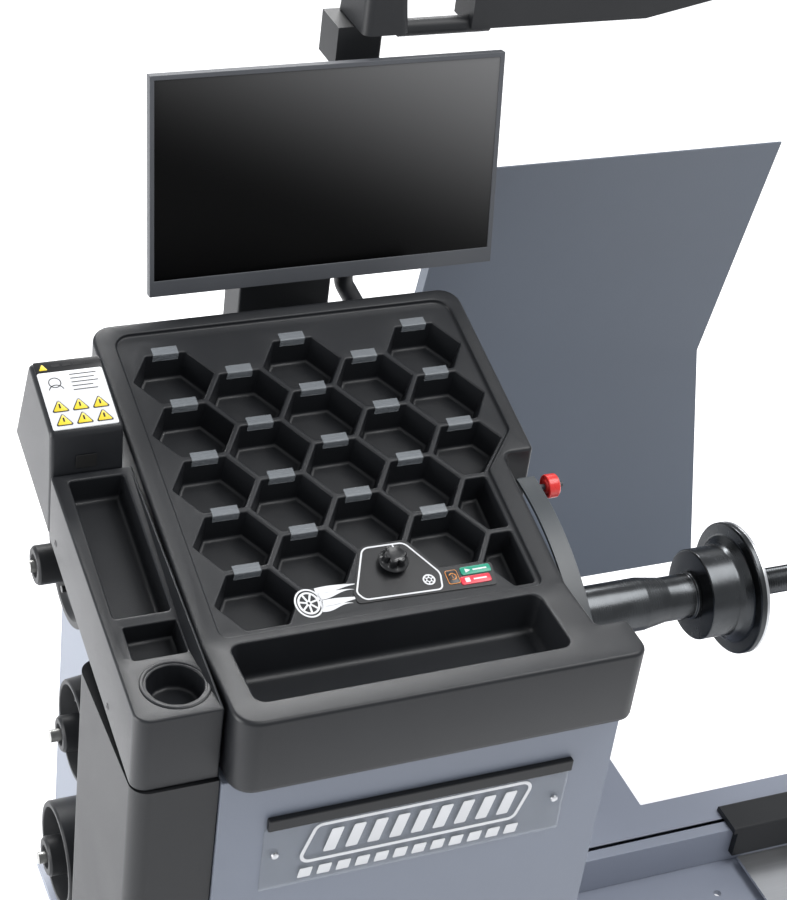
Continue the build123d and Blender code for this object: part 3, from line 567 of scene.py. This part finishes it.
def pockets():
    """Pocket outlines: five columns, every other one half a pitch up, cut off beside the gauge's notch."""
    found = []
    for column in range(5):
        odd = column % 2
        for row in range(4 if odd else 5):
            if column == 2 and row == 0:
                continue
            x, u = FIRST_X + column * CELL_X, FIRST_U + (row + odd / 2) * CELL_U
            shape = cell_corners(x, u, 1.7)
            if column == 4 and row < 2:
                shape = keep_side(shape, 1, 0, 203)
            if column == 4 and row == 2:
                shape = keep_side(keep_side(shape, 1, 0, 259), 65, -57, 65 * 203 - 57 * 205)
            if column == 4 and row > 2:
                shape = keep_side(shape, 1, 0, 260)
            distinct = [p for i, p in enumerate(shape) if hypot(p[0] - shape[i - 1][0],
                                                                p[1] - shape[i - 1][1]) > 6]
            found.append((x, u, [(*p, 7.0) for p in distinct]))
    return found


def make_tray():
    form = Form()
    ridge, floor_r, draft = 2.6, 5.0, 3.0
    floor = DECK_W - CELL_DEPTH
    holes = []
    for _, _, corners in pockets():
        profile = quarter(0, DECK_W, ridge)
        profile += [(ridge + draft, floor + floor_r)]
        profile += [(ridge + draft + floor_r * (1 - cos(t)), floor + floor_r * (1 - sin(t)))
                    for t in np.linspace(0, pi / 2, 5)][1:]
        profile += [(ridge + draft + floor_r + 1.5, floor)]
        moulding(form, corners, profile, deck, (False, True))
        holes.append(outline(corners, 0))
    edge = 2.6
    field_in = outline(FIELD, edge)
    v, f = flat_fill(field_in, holes, 26)
    form.add(deck(np.column_stack([v, np.full(len(v), DECK_W)])), f)
    lip = [(edge * (1 - sin(t)), DECK_W + edge * (1 - cos(t))) for t in np.linspace(0, pi / 2, 4)]
    lip += [(-2.2 * (1 - cos(t)), -2.2 + 2.2 * sin(t)) for t in np.linspace(0, pi / 2, 5)]
    moulding(form, FIELD, lip, deck, (False, False))

    trough = rectangle(-240, 195, -122.6, -7.6, 18)
    depth = 60.0
    profile = quarter(0, 0, 3) + [(6, -depth + 10)]
    profile += [(6 + 10 * (1 - cos(t)), -depth + 10 * (1 - sin(t))) for t in np.linspace(0, pi / 2, 6)][1:]
    profile += [(18, -depth)]
    moulding(form, trough, profile, deck, (False, True), 7)

    soft, steps = 6.0, 6
    top = outline(TRAY_EDGE, soft, steps)
    crease = np.column_stack([np.linspace(-266, 233, 40), np.zeros(40)])
    v, f = flat_fill(top, [outline(FIELD, -2.2), outline(trough, 0, 7)], 30, crease)
    form.add(deck(np.column_stack([v, np.zeros(len(v))])), f)
    rings = []
    for inset, w in quarter(soft, 0, soft, 6, inward=False):
        loop = outline(TRAY_EDGE, inset, steps)
        rings.append(deck(np.column_stack([loop, np.full(len(loop), w)])))
    for level, inset in ((891.0, 0.0), (886.0, 1.2), (882.4, 4.0), (881.2, 9.0)):
        loop = outline(TRAY_EDGE, inset, steps)
        flat = deck(np.column_stack([loop, np.full(len(loop), -soft)]))
        flat[:, 2] = level
        rings.append(flat)
    form.skin(rings, (False, True))
    return form.piece("tray_moulding", LOOKS["tray"], replaces=("weight_tray", "cell_grid"),
                      slot="dark_plastic",
                      sharp=50, weld=0.03)


make_tray()


def make_tags():
    """Clear label clips: a strip that lies on the wall and turns down into the pocket."""
    form = Form()
    for x, u, corners in pockets():
        if x > 150 and u < 200:
            continue
        e = u + CELL_U / 2
        band = [(e - 6.2, -17, 0.5), (e - 5.0, -17, 0.5), (e - 5.0, DECK_W + 0.3, 0.6),
                (e + 8.5, DECK_W + 0.3, 0.5),
                (e + 8.5, DECK_W + 1.6, 0.5), (e - 6.2, DECK_W + 1.6, 2.0)]
        moulding(form, band, [(0.3, x - 18.5), (0, x - 18.2), (0, x + 18.2), (0.3, x + 18.5)], deck_across)
    form.piece("label_clips", LOOKS["clear"], replaces=("cell_tags",), slot="clear_plastic", sharp=30)


make_tags()

# ---------------------------------------------------------------- control panel
def arc(x, y, r, a0, a1, n=24):
    t = np.radians(np.linspace(a0, a1, n))
    return np.stack([x + r * np.cos(t), y + r * np.sin(t)], 1)


def band(form, line, width, low, high, place, closed=False):
    """Flat raised band along a line of points, with mitred sides."""
    line = np.asarray(line, float)
    if closed:
        ahead = np.roll(line, -1, 0) - np.roll(line, 1, 0)
    else:
        ahead = np.gradient(line, axis=0)
    ahead /= np.linalg.norm(ahead, axis=1)[:, None]
    side = np.stack([-ahead[:, 1], ahead[:, 0]], 1) * width / 2
    section = [(line - side, low), (line - side * 0.96, high), (line + side * 0.96, high),
               (line + side, low)]
    rings = np.stack([np.column_stack([p, np.full(len(p), w)]) for p, w in section], 1)
    form.grid(place(rings), loop_u=closed, loop_v=True)
    if not closed:
        for ring in (rings[0], rings[-1]):
            form.add(place(ring), [(0, 1, 2, 3)])
    return form


def plate(form, corners, low, high, place=deck, soft=0.25, steps=5):
    """Thin flat piece with a slightly rounded upper edge."""
    return moulding(form, corners,
                    [(0, low), (0, high - soft), (soft * 0.3, high - soft * 0.3), (soft, high)],
                    place, steps=steps)


def disc_corners(x, y, r, n=10):
    """A circle as a many-cornered outline."""
    return [(x + r * cos(a), y + r * sin(a), r * 0.6) for a in np.linspace(0, 2 * pi, n, endpoint=False)]


PANEL = [(-46, 41, 9), (-15, 109, 13), (44, 108, 14), (76, 51, 16), (70, 25, 8), (-38, 28, 11)]


def make_keypad():
    base, print_w = DECK_W + 1.2, DECK_W + 1.75
    form = Form()
    film = outline([(-50, 24, 6), (146, 19, 4), (152, 55, 4), (78, 58, 6), (48, 113, 14), (-17, 113, 12),
                    (-50, 42, 8)])
    shaft_hole = arc(17, 77, 7.0, 0, 345, 24)
    for level in (DECK_W - 0.4, base):
        v, f = flat_fill(film, [shaft_hole], 40)
        form.add(deck(np.column_stack([v, np.full(len(v), level)])), f)
    for loop in (film, shaft_hole):
        form.skin([deck(np.column_stack([loop, np.full(len(loop), level)])) for level in (DECK_W - 0.4,
                                                                                          base)],
                  (False, False))
    form.piece("panel_film", LOOKS["overlay"], replaces=("keypad_overlay",), slot="dark_plastic")
    white = Form()
    band(white, outline(PANEL, 0, 8), 2.3, base - 0.3, print_w, deck, True)
    wheel = (57.0, 43.0)
    band(white, arc(*wheel, 7.6, 0, 352, 30), 2.2, base - 0.3, print_w, deck, True)
    band(white, arc(*wheel, 3.2, 0, 345, 16), 1.3, base - 0.3, print_w, deck, True)
    for k in range(6):
        a = radians(60 * k + 20)
        spoke = [(wheel[0] + r * cos(a), wheel[1] + r * sin(a)) for r in (3.6, 5.0, 6.8)]
        band(white, spoke, 1.6, base - 0.3, print_w, deck)
    white.piece("panel_lines", LOOKS["white"])
    ring = Form()
    band(ring, outline(rectangle(81.5, 98.5, 29.5, 52, 3), 0.6, 4), 1.0, base - 0.3, print_w + 0.3, deck,
         True)
    band(ring, arc(90, 41, 5.0, 0, 350, 26), 1.6, base + 0.6, print_w + 0.75, deck, True)
    band(ring, [(90, 38.2), (90, 41), (90, 43.6)], 1.6, base + 0.6, print_w + 0.75, deck)
    ring.piece("brake_mark", LOOKS["orange"], "brake_key")
    for name, look, x0, x1, u0, u1, slot in (("start_key", "green", 103.5, 147, 40.6, 53.4,
                                              "green_plastic"),
                                             ("stop_key", "stop", 98.5, 142, 25.2, 38.4, "red_plastic"),
                                             ("brake_key", "overlay", 82.2, 97.8, 30.2, 51.4,
                                              "orange_print")):
        cap = Form()
        plate(cap, rectangle(x0, x1, u0, u1, 3.2), DECK_W + 0.6, DECK_W + 2.5, soft=0.7)
        cap.piece(name + "_cap", LOOKS[look], name, replaces=(name,), slot=slot)
    marks = Form()
    top = DECK_W + 2.75
    plate(marks, [(110, 43.6, 0.5), (118, 47, 0.5), (110, 50.4, 0.5)], top - 0.6, top)
    band(marks, [(121, 47), (127, 47), (135, 47), (141, 47)], 2.4, top - 0.6, top, deck)
    marks.piece("start_mark", LOOKS["white"], "start_key")
    marks = Form()
    plate(marks, rectangle(105, 112, 28.4, 35.4, 0.8), top - 0.6, top)
    band(marks, [(117, 31.9), (123, 31.9), (130, 31.9), (136, 31.9)], 2.4, top - 0.6, top, deck)
    marks.piece("stop_mark", LOOKS["white"], "stop_key")


make_keypad()


def make_knob():
    """Six-lobed knob: the radius swings six times a turn, and fades into a round skirt and a dished top."""
    x, u = 17.0, 77.0
    t = np.linspace(0, 2 * pi, 144, endpoint=False)
    lobes = np.abs(np.cos(3 * t)) ** 0.75
    profile = [(0.5, 8.0, 0), (19.0, 8.0, 0), (20.2, 8.6, 0), (20.4, 9.4, 0), (19.6, 10.4, 0),
               (17.6, 11.2, 0.5),
               (16.9, 12.6, 1), (16.6, 15, 1), (16.3, 19, 1), (15.9, 22, 1), (15.2, 23.6, 0.9),
               (13.6, 24.4, 0.6),
               (11.5, 24.2, 0.2), (9.5, 23.2, 0), (5.0, 22.8, 0), (0.5, 22.7, 0)]
    rings = []
    for r, w, depth in profile:
        radius = r - 4.6 * depth * (1 - lobes)
        rings.append(np.stack([x + radius * np.cos(t), u + radius * np.sin(t),
                               np.full(len(t), DECK_W + w)], 1))
    Form().skin(deck(np.array(rings))).piece("lobed_knob", LOOKS["overlay"], "dial",
                                             replaces=("control_knob",),
                                            slot="dark_plastic", sharp=60)
    mark = Form()
    plate(mark, rectangle(x - 0.9, x + 0.9, u + 10.2, u + 14.6, 0.4), DECK_W + 22, DECK_W + 24.7)
    mark.piece("knob_mark", LOOKS["white"], "dial")


make_knob()


def make_decal():
    """Printed mark beside the panel: a spoked wheel with streaks that run to the right."""
    form = Form()
    low, high = DECK_W - 0.3, DECK_W + 0.25
    x, u = -113.0, 38.0
    squash = 0.82

    def flat(points):
        p = np.asarray(points, float)
        return np.stack([x + (p[:, 0] - x) * squash, p[:, 1]], 1)

    band(form, flat(arc(x, u, 21.5, 0, 357, 48)), 2.6, low, high, deck, True)
    band(form, flat(arc(x, u, 16.2, 0, 357, 44)), 3.0, low, high, deck, True)
    band(form, flat(arc(x, u, 3.4, 0, 350, 16)), 2.2, low, high, deck, True)
    for k in range(7):
        a = 2 * pi * k / 7 + 0.2
        band(form, flat([(x + r * cos(a), u + r * sin(a)) for r in (4.0, 9.0, 15.0)]), 2.8, low, high, deck)
    for start, rise, reach, size in ((17, 5, 64, 8.5), (7, 9, 52, 8), (-4, 4, 70, 9), (-13, 8, 44, 7)):
        t = np.linspace(0, 1, 16)
        middle = u + start + rise * np.sin(2.4 * t) * t - 3 * t
        half = size / 2 * (1 - t) ** 0.7 * (1 + 0.5 * np.sin(5 * t)) + 0.15
        left = x + 14 + reach * t
        rings = np.stack([np.stack([left, middle + s * half, np.full(16, w)], 1)
                          for s, w in ((-1, low), (-1, high), (1, high), (1, low))], 1)
        form.grid(deck(rings), loop_v=True)
        for ring in (rings[0], rings[-1]):
            form.add(deck(ring), [(0, 1, 2, 3)])
    form.piece("wheel_print", LOOKS["white"])


make_decal()


# ---------------------------------------------------------------- left console and notice box
def make_console():
    """Side shelf with rolled edges: cup well, pocket and long recess sunk in a bent top."""
    x0, x1, w, soft, steps = -387.0, -277.4, -2.2, 3.2, 7
    edge = [(x0, -117.6, 20), (x1, -117.6, 3), (x1, 298, 2), (x0, 298, 4)]
    form = Form()
    wells = [(disc_corners(-322, -60.6, 38.5, 12), 36, 5, 2.2),
             (rectangle(-361, -287, -8.6, 46.8, 5), 34, 5, 2.4),
             (rectangle(-369, -289, 57.5, 288, 7), 44, 6, 3.0)]
    holes = []
    for corners, depth, floor_r, roll in wells:
        profile = quarter(0, w, roll) + [(roll + 1.2, w - depth + floor_r)]
        profile += [(roll + 1.2 + floor_r * (1 - cos(t)), w - depth + floor_r * (1 - sin(t)))
                    for t in np.linspace(0, pi / 2, 5)][1:]
        profile += [(roll + floor_r + 2.2, w - depth)]
        moulding(form, corners, profile, deck, (False, True), steps)
        holes.append(outline(corners, 0, steps))
    crease = np.column_stack([np.linspace(-380, -366, 4), np.zeros(4)])
    v, f = flat_fill(outline(edge, soft, steps), holes, 26, crease)
    form.add(deck(np.column_stack([v, np.full(len(v), w)])), f)
    rings = []
    for inset, level in quarter(soft, w, soft, 5, inward=False):
        loop = outline(edge, inset, steps)
        rings.append(deck(np.column_stack([loop, np.full(len(loop), level)])))
    for inset, lift in ((0.0, 3.0), (0.4, 1.2), (2.0, 0.0)):
        loop = outline(edge, inset, steps)
        flat = deck(np.column_stack([loop, np.full(len(loop), w - soft)]))
        flat[:, 2] = 883.4 + lift + 0.2314 * np.clip(flat[:, 1] + 323, 0, 400)
        rings.append(flat)
    form.skin(rings, (False, True))
    form.piece("console_moulding", LOOKS["tray"], replaces=("left_console",), slot="dark_plastic",
               sharp=48, weld=0.03)
    trim = Form()
    t = np.linspace(0, 2 * pi, 72, endpoint=False)
    section = [(38.6, w - 0.6), (39.2, w + 1.0), (40.6, w + 1.6), (43.4, w + 1.5), (44.6, w + 0.6),
               (44.8, w - 0.6)]
    rings = [np.stack([-322 + r * np.cos(t), -60.6 + r * np.sin(t), np.full(72, h)], 1) for r, h in section]
    trim.grid(deck(np.stack(rings)), loop_u=True, loop_v=True)
    trim.piece("cup_ring", LOOKS["tray"])
    screws = Form()
    for y, z in ((-236, 922), (20, 984)):
        turned(screws, [(-386.4, 0.1), (-387.6, 3.2, 0.6), (-387.6, 4.6, 0.6), (-386.4, 5.2)][::-1], y, z,
               28)
    screws.piece("console_screws", LOOKS["overlay"])

    box = Form()
    profile = [(54.4, 971.5, 3), (54.4, 1068, 6), (59, 1132.6, 12), (176, 1169.6, 12), (237.6, 1016, 5)]
    moulding(box, profile, pad(-387, -288.2, 6.0), across)
    box.piece("notice_moulding", LOOKS["tray"], replaces=("notice_box",), slot="dark_plastic", sharp=48)
    socket = Form()
    moulding(socket, rectangle(-353, -325, 1077, 1097, 2), pad(53.7, 54.6, 0.3), frontal)
    socket.piece("notice_socket", LOOKS["rubber"])


make_console()


# ---------------------------------------------------------------- notice box label
def make_label():
    """White plate with six plain yellow triangles and a dark heading on the box's sloping face."""
    (y0, z0), (y1, z1) = (59.0, 1133.0), (176.0, 1170.0)
    lean = atan2(z1 - z0, y1 - y0)
    centre = -337.5

    def place(points):
        p = np.asarray(points, float)
        return np.stack([centre + p[..., 0], y0 + p[..., 1] * cos(lean) - p[..., 2] * sin(lean),
                         z0 + p[..., 1] * sin(lean) + p[..., 2] * cos(lean)], -1)

    form = Form()
    plate(form, rectangle(-44, 44, 5, 100, 3), -1.0, 0.7, place, 0.3)
    form.piece("label_plate", LOOKS["white"])
    head = Form()
    plate(head, rectangle(-45, 45, 101, 119, 2), -1.0, 0.7, place, 0.3)
    lines = head
    for k, width in enumerate((34, 30, 34, 26, 31)):
        u = 93 - 6.5 * k
        band(lines, [(-2, u), (10, u), (width, u)], 1.3, 0.3, 0.95, place)
    band(lines, arc(-24, 82, 8, 0, 350, 24), 1.2, 0.3, 0.95, place, True)
    band(lines, arc(-24, 68, 10, 15, 165, 16), 1.2, 0.3, 0.95, place)
    for x in (-27, 0, 27):
        for u in (34.5, 12):
            corners = [(x - 12.5, u - 1.5, 2), (x + 12.5, u - 1.5, 2), (x, u + 19.5, 2)]
            plate(lines, corners, 0.3, 1.0, place, 0.15)
    head.piece("label_print", LOOKS["overlay"])
    signs = Form()
    for x in (-27, 0, 27):
        for u in (34.5, 12):
            corners = [(x - 10, u, 1.4), (x + 10, u, 1.4), (x, u + 16.6, 1.4)]
            plate(signs, corners, 0.5, 1.25, place, 0.15)
    plate(signs, [(-40, 104, 1), (-28, 104, 1), (-34, 114.5, 1)], 0.3, 1.0, place, 0.15)
    signs.piece("label_signs", LOOKS["yellow"])
    dots = Form()
    for x in (-27, 0, 27):
        for u in (34.5, 12):
            band(dots, [(x, u + 4.6), (x, u + 8), (x, u + 11.4)], 2.4, 0.8, 1.5, place)
    for k in range(4):
        band(dots, [(-22 + 15 * k, 110), (-16 + 15 * k, 110), (-11 + 15 * k, 110)], 4.6, 0.3, 1.0, place)
    dots.piece("label_dots", LOOKS["overlay"])


make_label()


# ---------------------------------------------------------------- spindle
SPINDLE_Y, SPINDLE_Z = -120.0, 827.0


def make_spindle():
    """Turned shaft: housing tube, taper and neck, then the threaded end."""
    form = Form()
    shaft = [(40, 0.1), (40, 17, 1), (112, 17, 1), (112, 25, 1), (280, 25, 1), (280, 30, 1), (302, 30, 1),
             (302, 39, 2), (304.5, 39, 1), (304.5, 38.2, 0.4), (306.5, 38.2, 0.4), (306.5, 39, 0.6),
             (443, 39, 14),
             (481, 33, 16), (523, 33, 2), (525, 35.5, 1.5), (531, 35.5, 1), (531, 24, 1), (612, 24, 1),
             (612, 18.2, 1), (620, 18.2, 0.1)]
    turned(form, shaft, SPINDLE_Y, SPINDLE_Z, 96)
    pitch, depth, sides, per_turn = 4.0, 1.35, 56, 6
    x = np.arange(619.0, 850.0, pitch / per_turn)
    t = np.linspace(0, 2 * pi, sides, endpoint=False)
    wave = (x[:, None] / pitch - t[None, :] / (2 * pi)) % 1.0
    crest = np.clip(2.6 * np.abs(wave - 0.5) - 0.25, 0, 1)
    fade = np.clip((850.0 - x) / 5.0, 0, 1)[:, None] * np.clip((x - 620.0) / 4.0, 0, 1)[:, None]
    r = 19.95 - depth * (1 - crest) * fade - 2.5 * np.clip((x - 847.0) / 3.0, 0, 1)[:, None]
    rings = np.stack([np.repeat(x[:, None], sides, 1), SPINDLE_Y + r * np.cos(t),
                      SPINDLE_Z + r * np.sin(t)], 2)
    form.skin(rings)
    form.piece("spindle_turned", LOOKS["spindle"], "spindle", replaces=("spindle_shaft",),
               slot="black_steel", sharp=44)

    form = Form()
    flange = [(531, 24), (531, 65, 2), (533, 67, 1.5), (580, 67, 12), (592, 80, 6), (592, 95, 1.6),
              (594, 98, 1.4),
              (603.5, 98, 1.4), (606, 95.5, 1.6), (606, 33, 1), (618, 32, 2), (620, 30, 1), (620, 24)]
    turned(form, flange, SPINDLE_Y, SPINDLE_Z, 128, closed=True)
    form.piece("flange_turned", LOOKS["spindle"], "spindle", replaces=("spindle_flange",),
               slot="black_steel", sharp=40)
    rim = Form()
    turned(rim, [(600.8, 97.2), (600.8, 98.25, 0.2), (605.0, 98.25, 0.6), (606.2, 96.6, 0.3),
                 (606.2, 94.5), (603, 94.5)],
           SPINDLE_Y, SPINDLE_Z, 128, closed=True)
    rim.piece("flange_bright_edge", LOOKS["bright"], "spindle")


make_spindle()


# ---------------------------------------------------------------- distance gauge
def three_point_arc(a, b, c, n):
    """Points on the circle through a, b and c, from a to c."""
    (ax, ay), (bx, by), (cx, cy) = a, b, c
    d = 2 * (ax * (by - cy) + bx * (cy - ay) + cx * (ay - by))
    a2, b2, c2 = ax ** 2 + ay ** 2, bx ** 2 + by ** 2, cx ** 2 + cy ** 2
    ux = (a2 * (by - cy) + b2 * (cy - ay) + c2 * (ay - by)) / d
    uy = (a2 * (cx - bx) + b2 * (ax - cx) + c2 * (bx - ax)) / d
    r = hypot(ax - ux, ay - uy)
    t0, t1 = atan2(ay - uy, ax - ux), atan2(cy - uy, cx - ux)
    t1 = t1 - 2 * pi if t1 > t0 else t1
    return np.array([(ux + r * cos(t), uy + r * sin(t)) for t in np.linspace(t0, t1, n)])


def make_gauge():
    outer = three_point_arc((-296, 917), (-158, 1010), (-46, 1032), 48)
    ahead = np.gradient(outer, axis=0)
    ahead /= np.linalg.norm(ahead, axis=1)[:, None]
    into = np.stack([ahead[:, 1], -ahead[:, 0]], 1)
    thick = 4.6
    section = [(262 - 13.4, 0), (262 + 13.4, 0), (262 + 14, 0.7), (262 + 14, thick - 0.7),
               (262 + 13.4, thick),
               (262 - 13.4, thick), (262 - 14, thick - 0.7), (262 - 14, 0.7)]
    rings = [[(x, p[0] + q[0] * d, p[1] + q[1] * d) for x, d in section] for p, q in zip(outer, into)]
    form = Form().skin(rings)
    turned(form, [(248, 10.1), (248, 18, 1), (276, 18, 1), (276, 10.1)], -300, 905, 64, closed=True)
    turned(form, [(255, 0.1), (255, 10.05), (256.6, 10.05), (256.6, 0.1)], -300, 905, 40)
    moulding(form, rectangle(-67, -49, 1012, 1028, 3), pad(270, 276, 0.8), across)
    turned(form, [(275, 4), (316, 4, 1), (316, 0.1)], -58, 1020, 32)
    form.piece("gauge_strap", LOOKS["arm"], "gauge_arm", replaces=("gauge_arm",), slot="light_plastic",
               sharp=40)
    knob = Form()
    turned(knob, [(288, 4.1), (288, 9, 1), (290.5, 10.5, 2), (289.5, 14.5, 1.5), (288, 16, 1.5),
                  (290, 17, 1.2),
                  (304, 17, 1.6), (306, 15, 1.4), (306, 4.1)], -58, 1020, 72, closed=True)
    knob.piece("gauge_knob_ring", LOOKS["red"], "gauge_arm", replaces=("gauge_knob",), slot="red_plastic",
               sharp=42)


make_gauge()


# ---------------------------------------------------------------- front placard
def make_placard():
    form = Form()
    moulding(form, rectangle(-212, 221, 673, 783, 1.2), pad(-366, -362, 0.5), frontal)
    form.piece("placard_sheet", LOOKS["clear"], replaces=("placard",), slot="clear_plastic", sharp=30)
    strip = Form()
    moulding(strip, rectangle(-209, 222, 784, 803, 1.5), pad(-371, -362, 1.6), frontal)
    strip.piece("placard_clamp", LOOKS["dark"], replaces=("placard_strip",), slot="dark_plastic", sharp=30)
    mark = Form()
    slant = 10.0
    frame_corners = [(-152 - slant, 712, 12), (158 - slant, 712, 12), (160 + slant, 775, 12),
                     (-150 + slant, 775, 12)]
    band(mark, outline(frame_corners, 0, 8), 5.0, -366.6, -366.1, frontal, True)
    for k in range(9):
        x = -128 + 31 * k
        bar = [(x, 724, 2), (x + 17, 724, 2), (x + 17 + slant, 763, 2), (x + slant, 763, 2)]
        plate(mark, bar, -366.1, -366.6, frontal, 0.1)
    for k in range(12):
        x = -160 + 27 * k
        bar = [(x, 684, 1.5), (x + 18, 684, 1.5), (x + 21, 700, 1.5), (x + 3, 700, 1.5)]
        plate(mark, bar, -366.1, -366.6, frontal, 0.1)
    mark.piece("placard_mark", LOOKS["white"])
    screws = Form()
    for x, z in ((-195, 735), (206, 733)):
        t = np.linspace(0, 2 * pi, 28, endpoint=False)
        rings = [np.stack([x + r * np.cos(t), np.full(28, y), z + r * np.sin(t)], 1)
                 for r, y in ((0.4, -369.6), (2.6, -369.4), (4.6, -368.4), (5.4, -366.6), (5.5, -365.9))]
        screws.skin(rings)
    screws.piece("placard_screws", LOOKS["bright"])


make_placard()


# ---------------------------------------------------------------- hung clamping pieces
def make_hung():
    pieces = {
        "hung_flange": ((107, 880), [(-330, 9.3), (-330, 94, 2), (-332, 96, 1.5), (-344, 96, 1.5),
                                     (-346, 94, 1),
                                     (-346, 85, 2), (-338, 78, 4), (-338, 32, 5), (-344, 28, 4),
                                     (-388, 28, 2),
                                     (-391.6, 25, 1.5), (-391.6, 17, 1), (-386, 15, 1), (-386, 9.3)]),
        "hung_cup": ((-21, 680), [(-325, 9.3), (-325, 76, 2), (-327, 78, 1.5), (-364, 74, 1.5),
                                  (-366, 72, 1),
                                  (-366, 67, 1.5), (-336, 62, 6), (-333, 30, 5), (-340, 26, 4),
                                  (-381, 26, 2),
                                  (-384.6, 23, 1.5), (-384.6, 16, 1), (-378, 14, 1), (-378, 9.3)]),
        "hung_sleeve": ((20, 400), [(-325, 9.3), (-325, 78, 2), (-327, 80, 1.5), (-369, 80, 1.5),
                                    (-372, 78, 1),
                                    (-372, 71, 1.5), (-336, 66, 6), (-333, 34, 5), (-340, 30, 4),
                                    (-384, 30, 2),
                                    (-387.6, 27, 1.5), (-387.6, 18, 1), (-380, 16, 1), (-380, 9.3)]),
    }
    for name, ((y, z), profile) in pieces.items():
        form = Form()
        turned(form, profile, y, z, 96, closed=True)
        form.piece(name + "_turned", LOOKS["dark"], name, replaces=(name,), slot="motor_paint", sharp=42)
        bolts = Form()
        for k in range(3):
            a = 2 * pi * k / 3 + 0.5
            turned(bolts, [(-352, 0.1), (-352, 5.5, 1), (-337, 5.5), (-337, 0.1)], y + 48 * cos(a),
                   z + 48 * sin(a), 24)
        bolts.piece(name + "_bolts", LOOKS["overlay"], name)


make_hung()


# ---------------------------------------------------------------- studio
CAMERA_AT, CAMERA_LENS = (-1.0094, -2.1681, 2.7676), 86.8
CAMERA_ANGLES = (26.6, 34.9, 8.0)      # azimuth, elevation below the horizon and roll, in degrees
WORLD_LIGHT, FLOOR_GLOW = 0.6, 0.3


def studio():
    """Camera, pale floor and soft lights."""
    scene = bpy.context.scene
    camera = bpy.data.objects.new("camera", bpy.data.cameras.new("camera"))
    bpy.context.collection.objects.link(camera)
    camera.data.lens, camera.data.sensor_width = CAMERA_LENS, 36.0
    camera.data.clip_end = 60
    azimuth, elevation, roll = (radians(a) for a in CAMERA_ANGLES)
    ahead = Vector((sin(azimuth) * cos(elevation), cos(azimuth) * cos(elevation), -sin(elevation)))
    level = Vector((cos(azimuth), -sin(azimuth), 0))
    above = level.cross(ahead)
    right = level * cos(roll) + above * sin(roll)
    up = above * cos(roll) - level * sin(roll)
    turn = Matrix((right, up, -ahead)).transposed()
    camera.matrix_world = Matrix.Translation(CAMERA_AT) @ turn.to_4x4()
    scene.camera = camera

    white = Look("backdrop", (0.9, 0.9, 0.91), 0.9, Emission_Color=(1.0, 1.0, 1.0),
                 Emission_Strength=FLOOR_GLOW).material
    mesh = bpy.data.meshes.new("floor")
    mesh.from_pydata([(-14, -14, 0), (14, -14, 0), (14, 14, 0), (-14, 14, 0)], [], [(0, 1, 2, 3)])
    mesh.materials.append(white)
    floor = bpy.data.objects.new("floor", mesh)
    bpy.context.collection.objects.link(floor)

    world = bpy.data.worlds.new("studio")
    scene.world = world
    world.use_nodes = True
    world.node_tree.nodes["Background"].inputs[0].default_value = (0.95, 0.97, 1.0, 1)
    world.node_tree.nodes["Background"].inputs[1].default_value = WORLD_LIGHT
    for name, place, aim, size, power in LAMPS:
        data = bpy.data.lights.new(name, "AREA")
        data.shape, data.size, data.size_y = "RECTANGLE", *size
        data.energy = power
        lamp = bpy.data.objects.new(name, data)
        bpy.context.collection.objects.link(lamp)
        lamp.location = place
        lamp.rotation_euler = (Vector(aim) - Vector(place)).to_track_quat("-Z", "Y").to_euler()
    scene.view_settings.view_transform = "Standard"


LAMPS = (
    ("key", (1.6, -0.6, 4.2), (0.1, 0.0, 0.9), (2.6, 1.6), 95),
    ("left", (-3.6, 0.1, 1.2), (0.0, 0.0, 0.8), (1.4, 2.4), 125),
    ("back", (0.5, 2.9, 3.3), (0.0, 0.1, 1.0), (2.6, 0.9), 150),
)

studio()
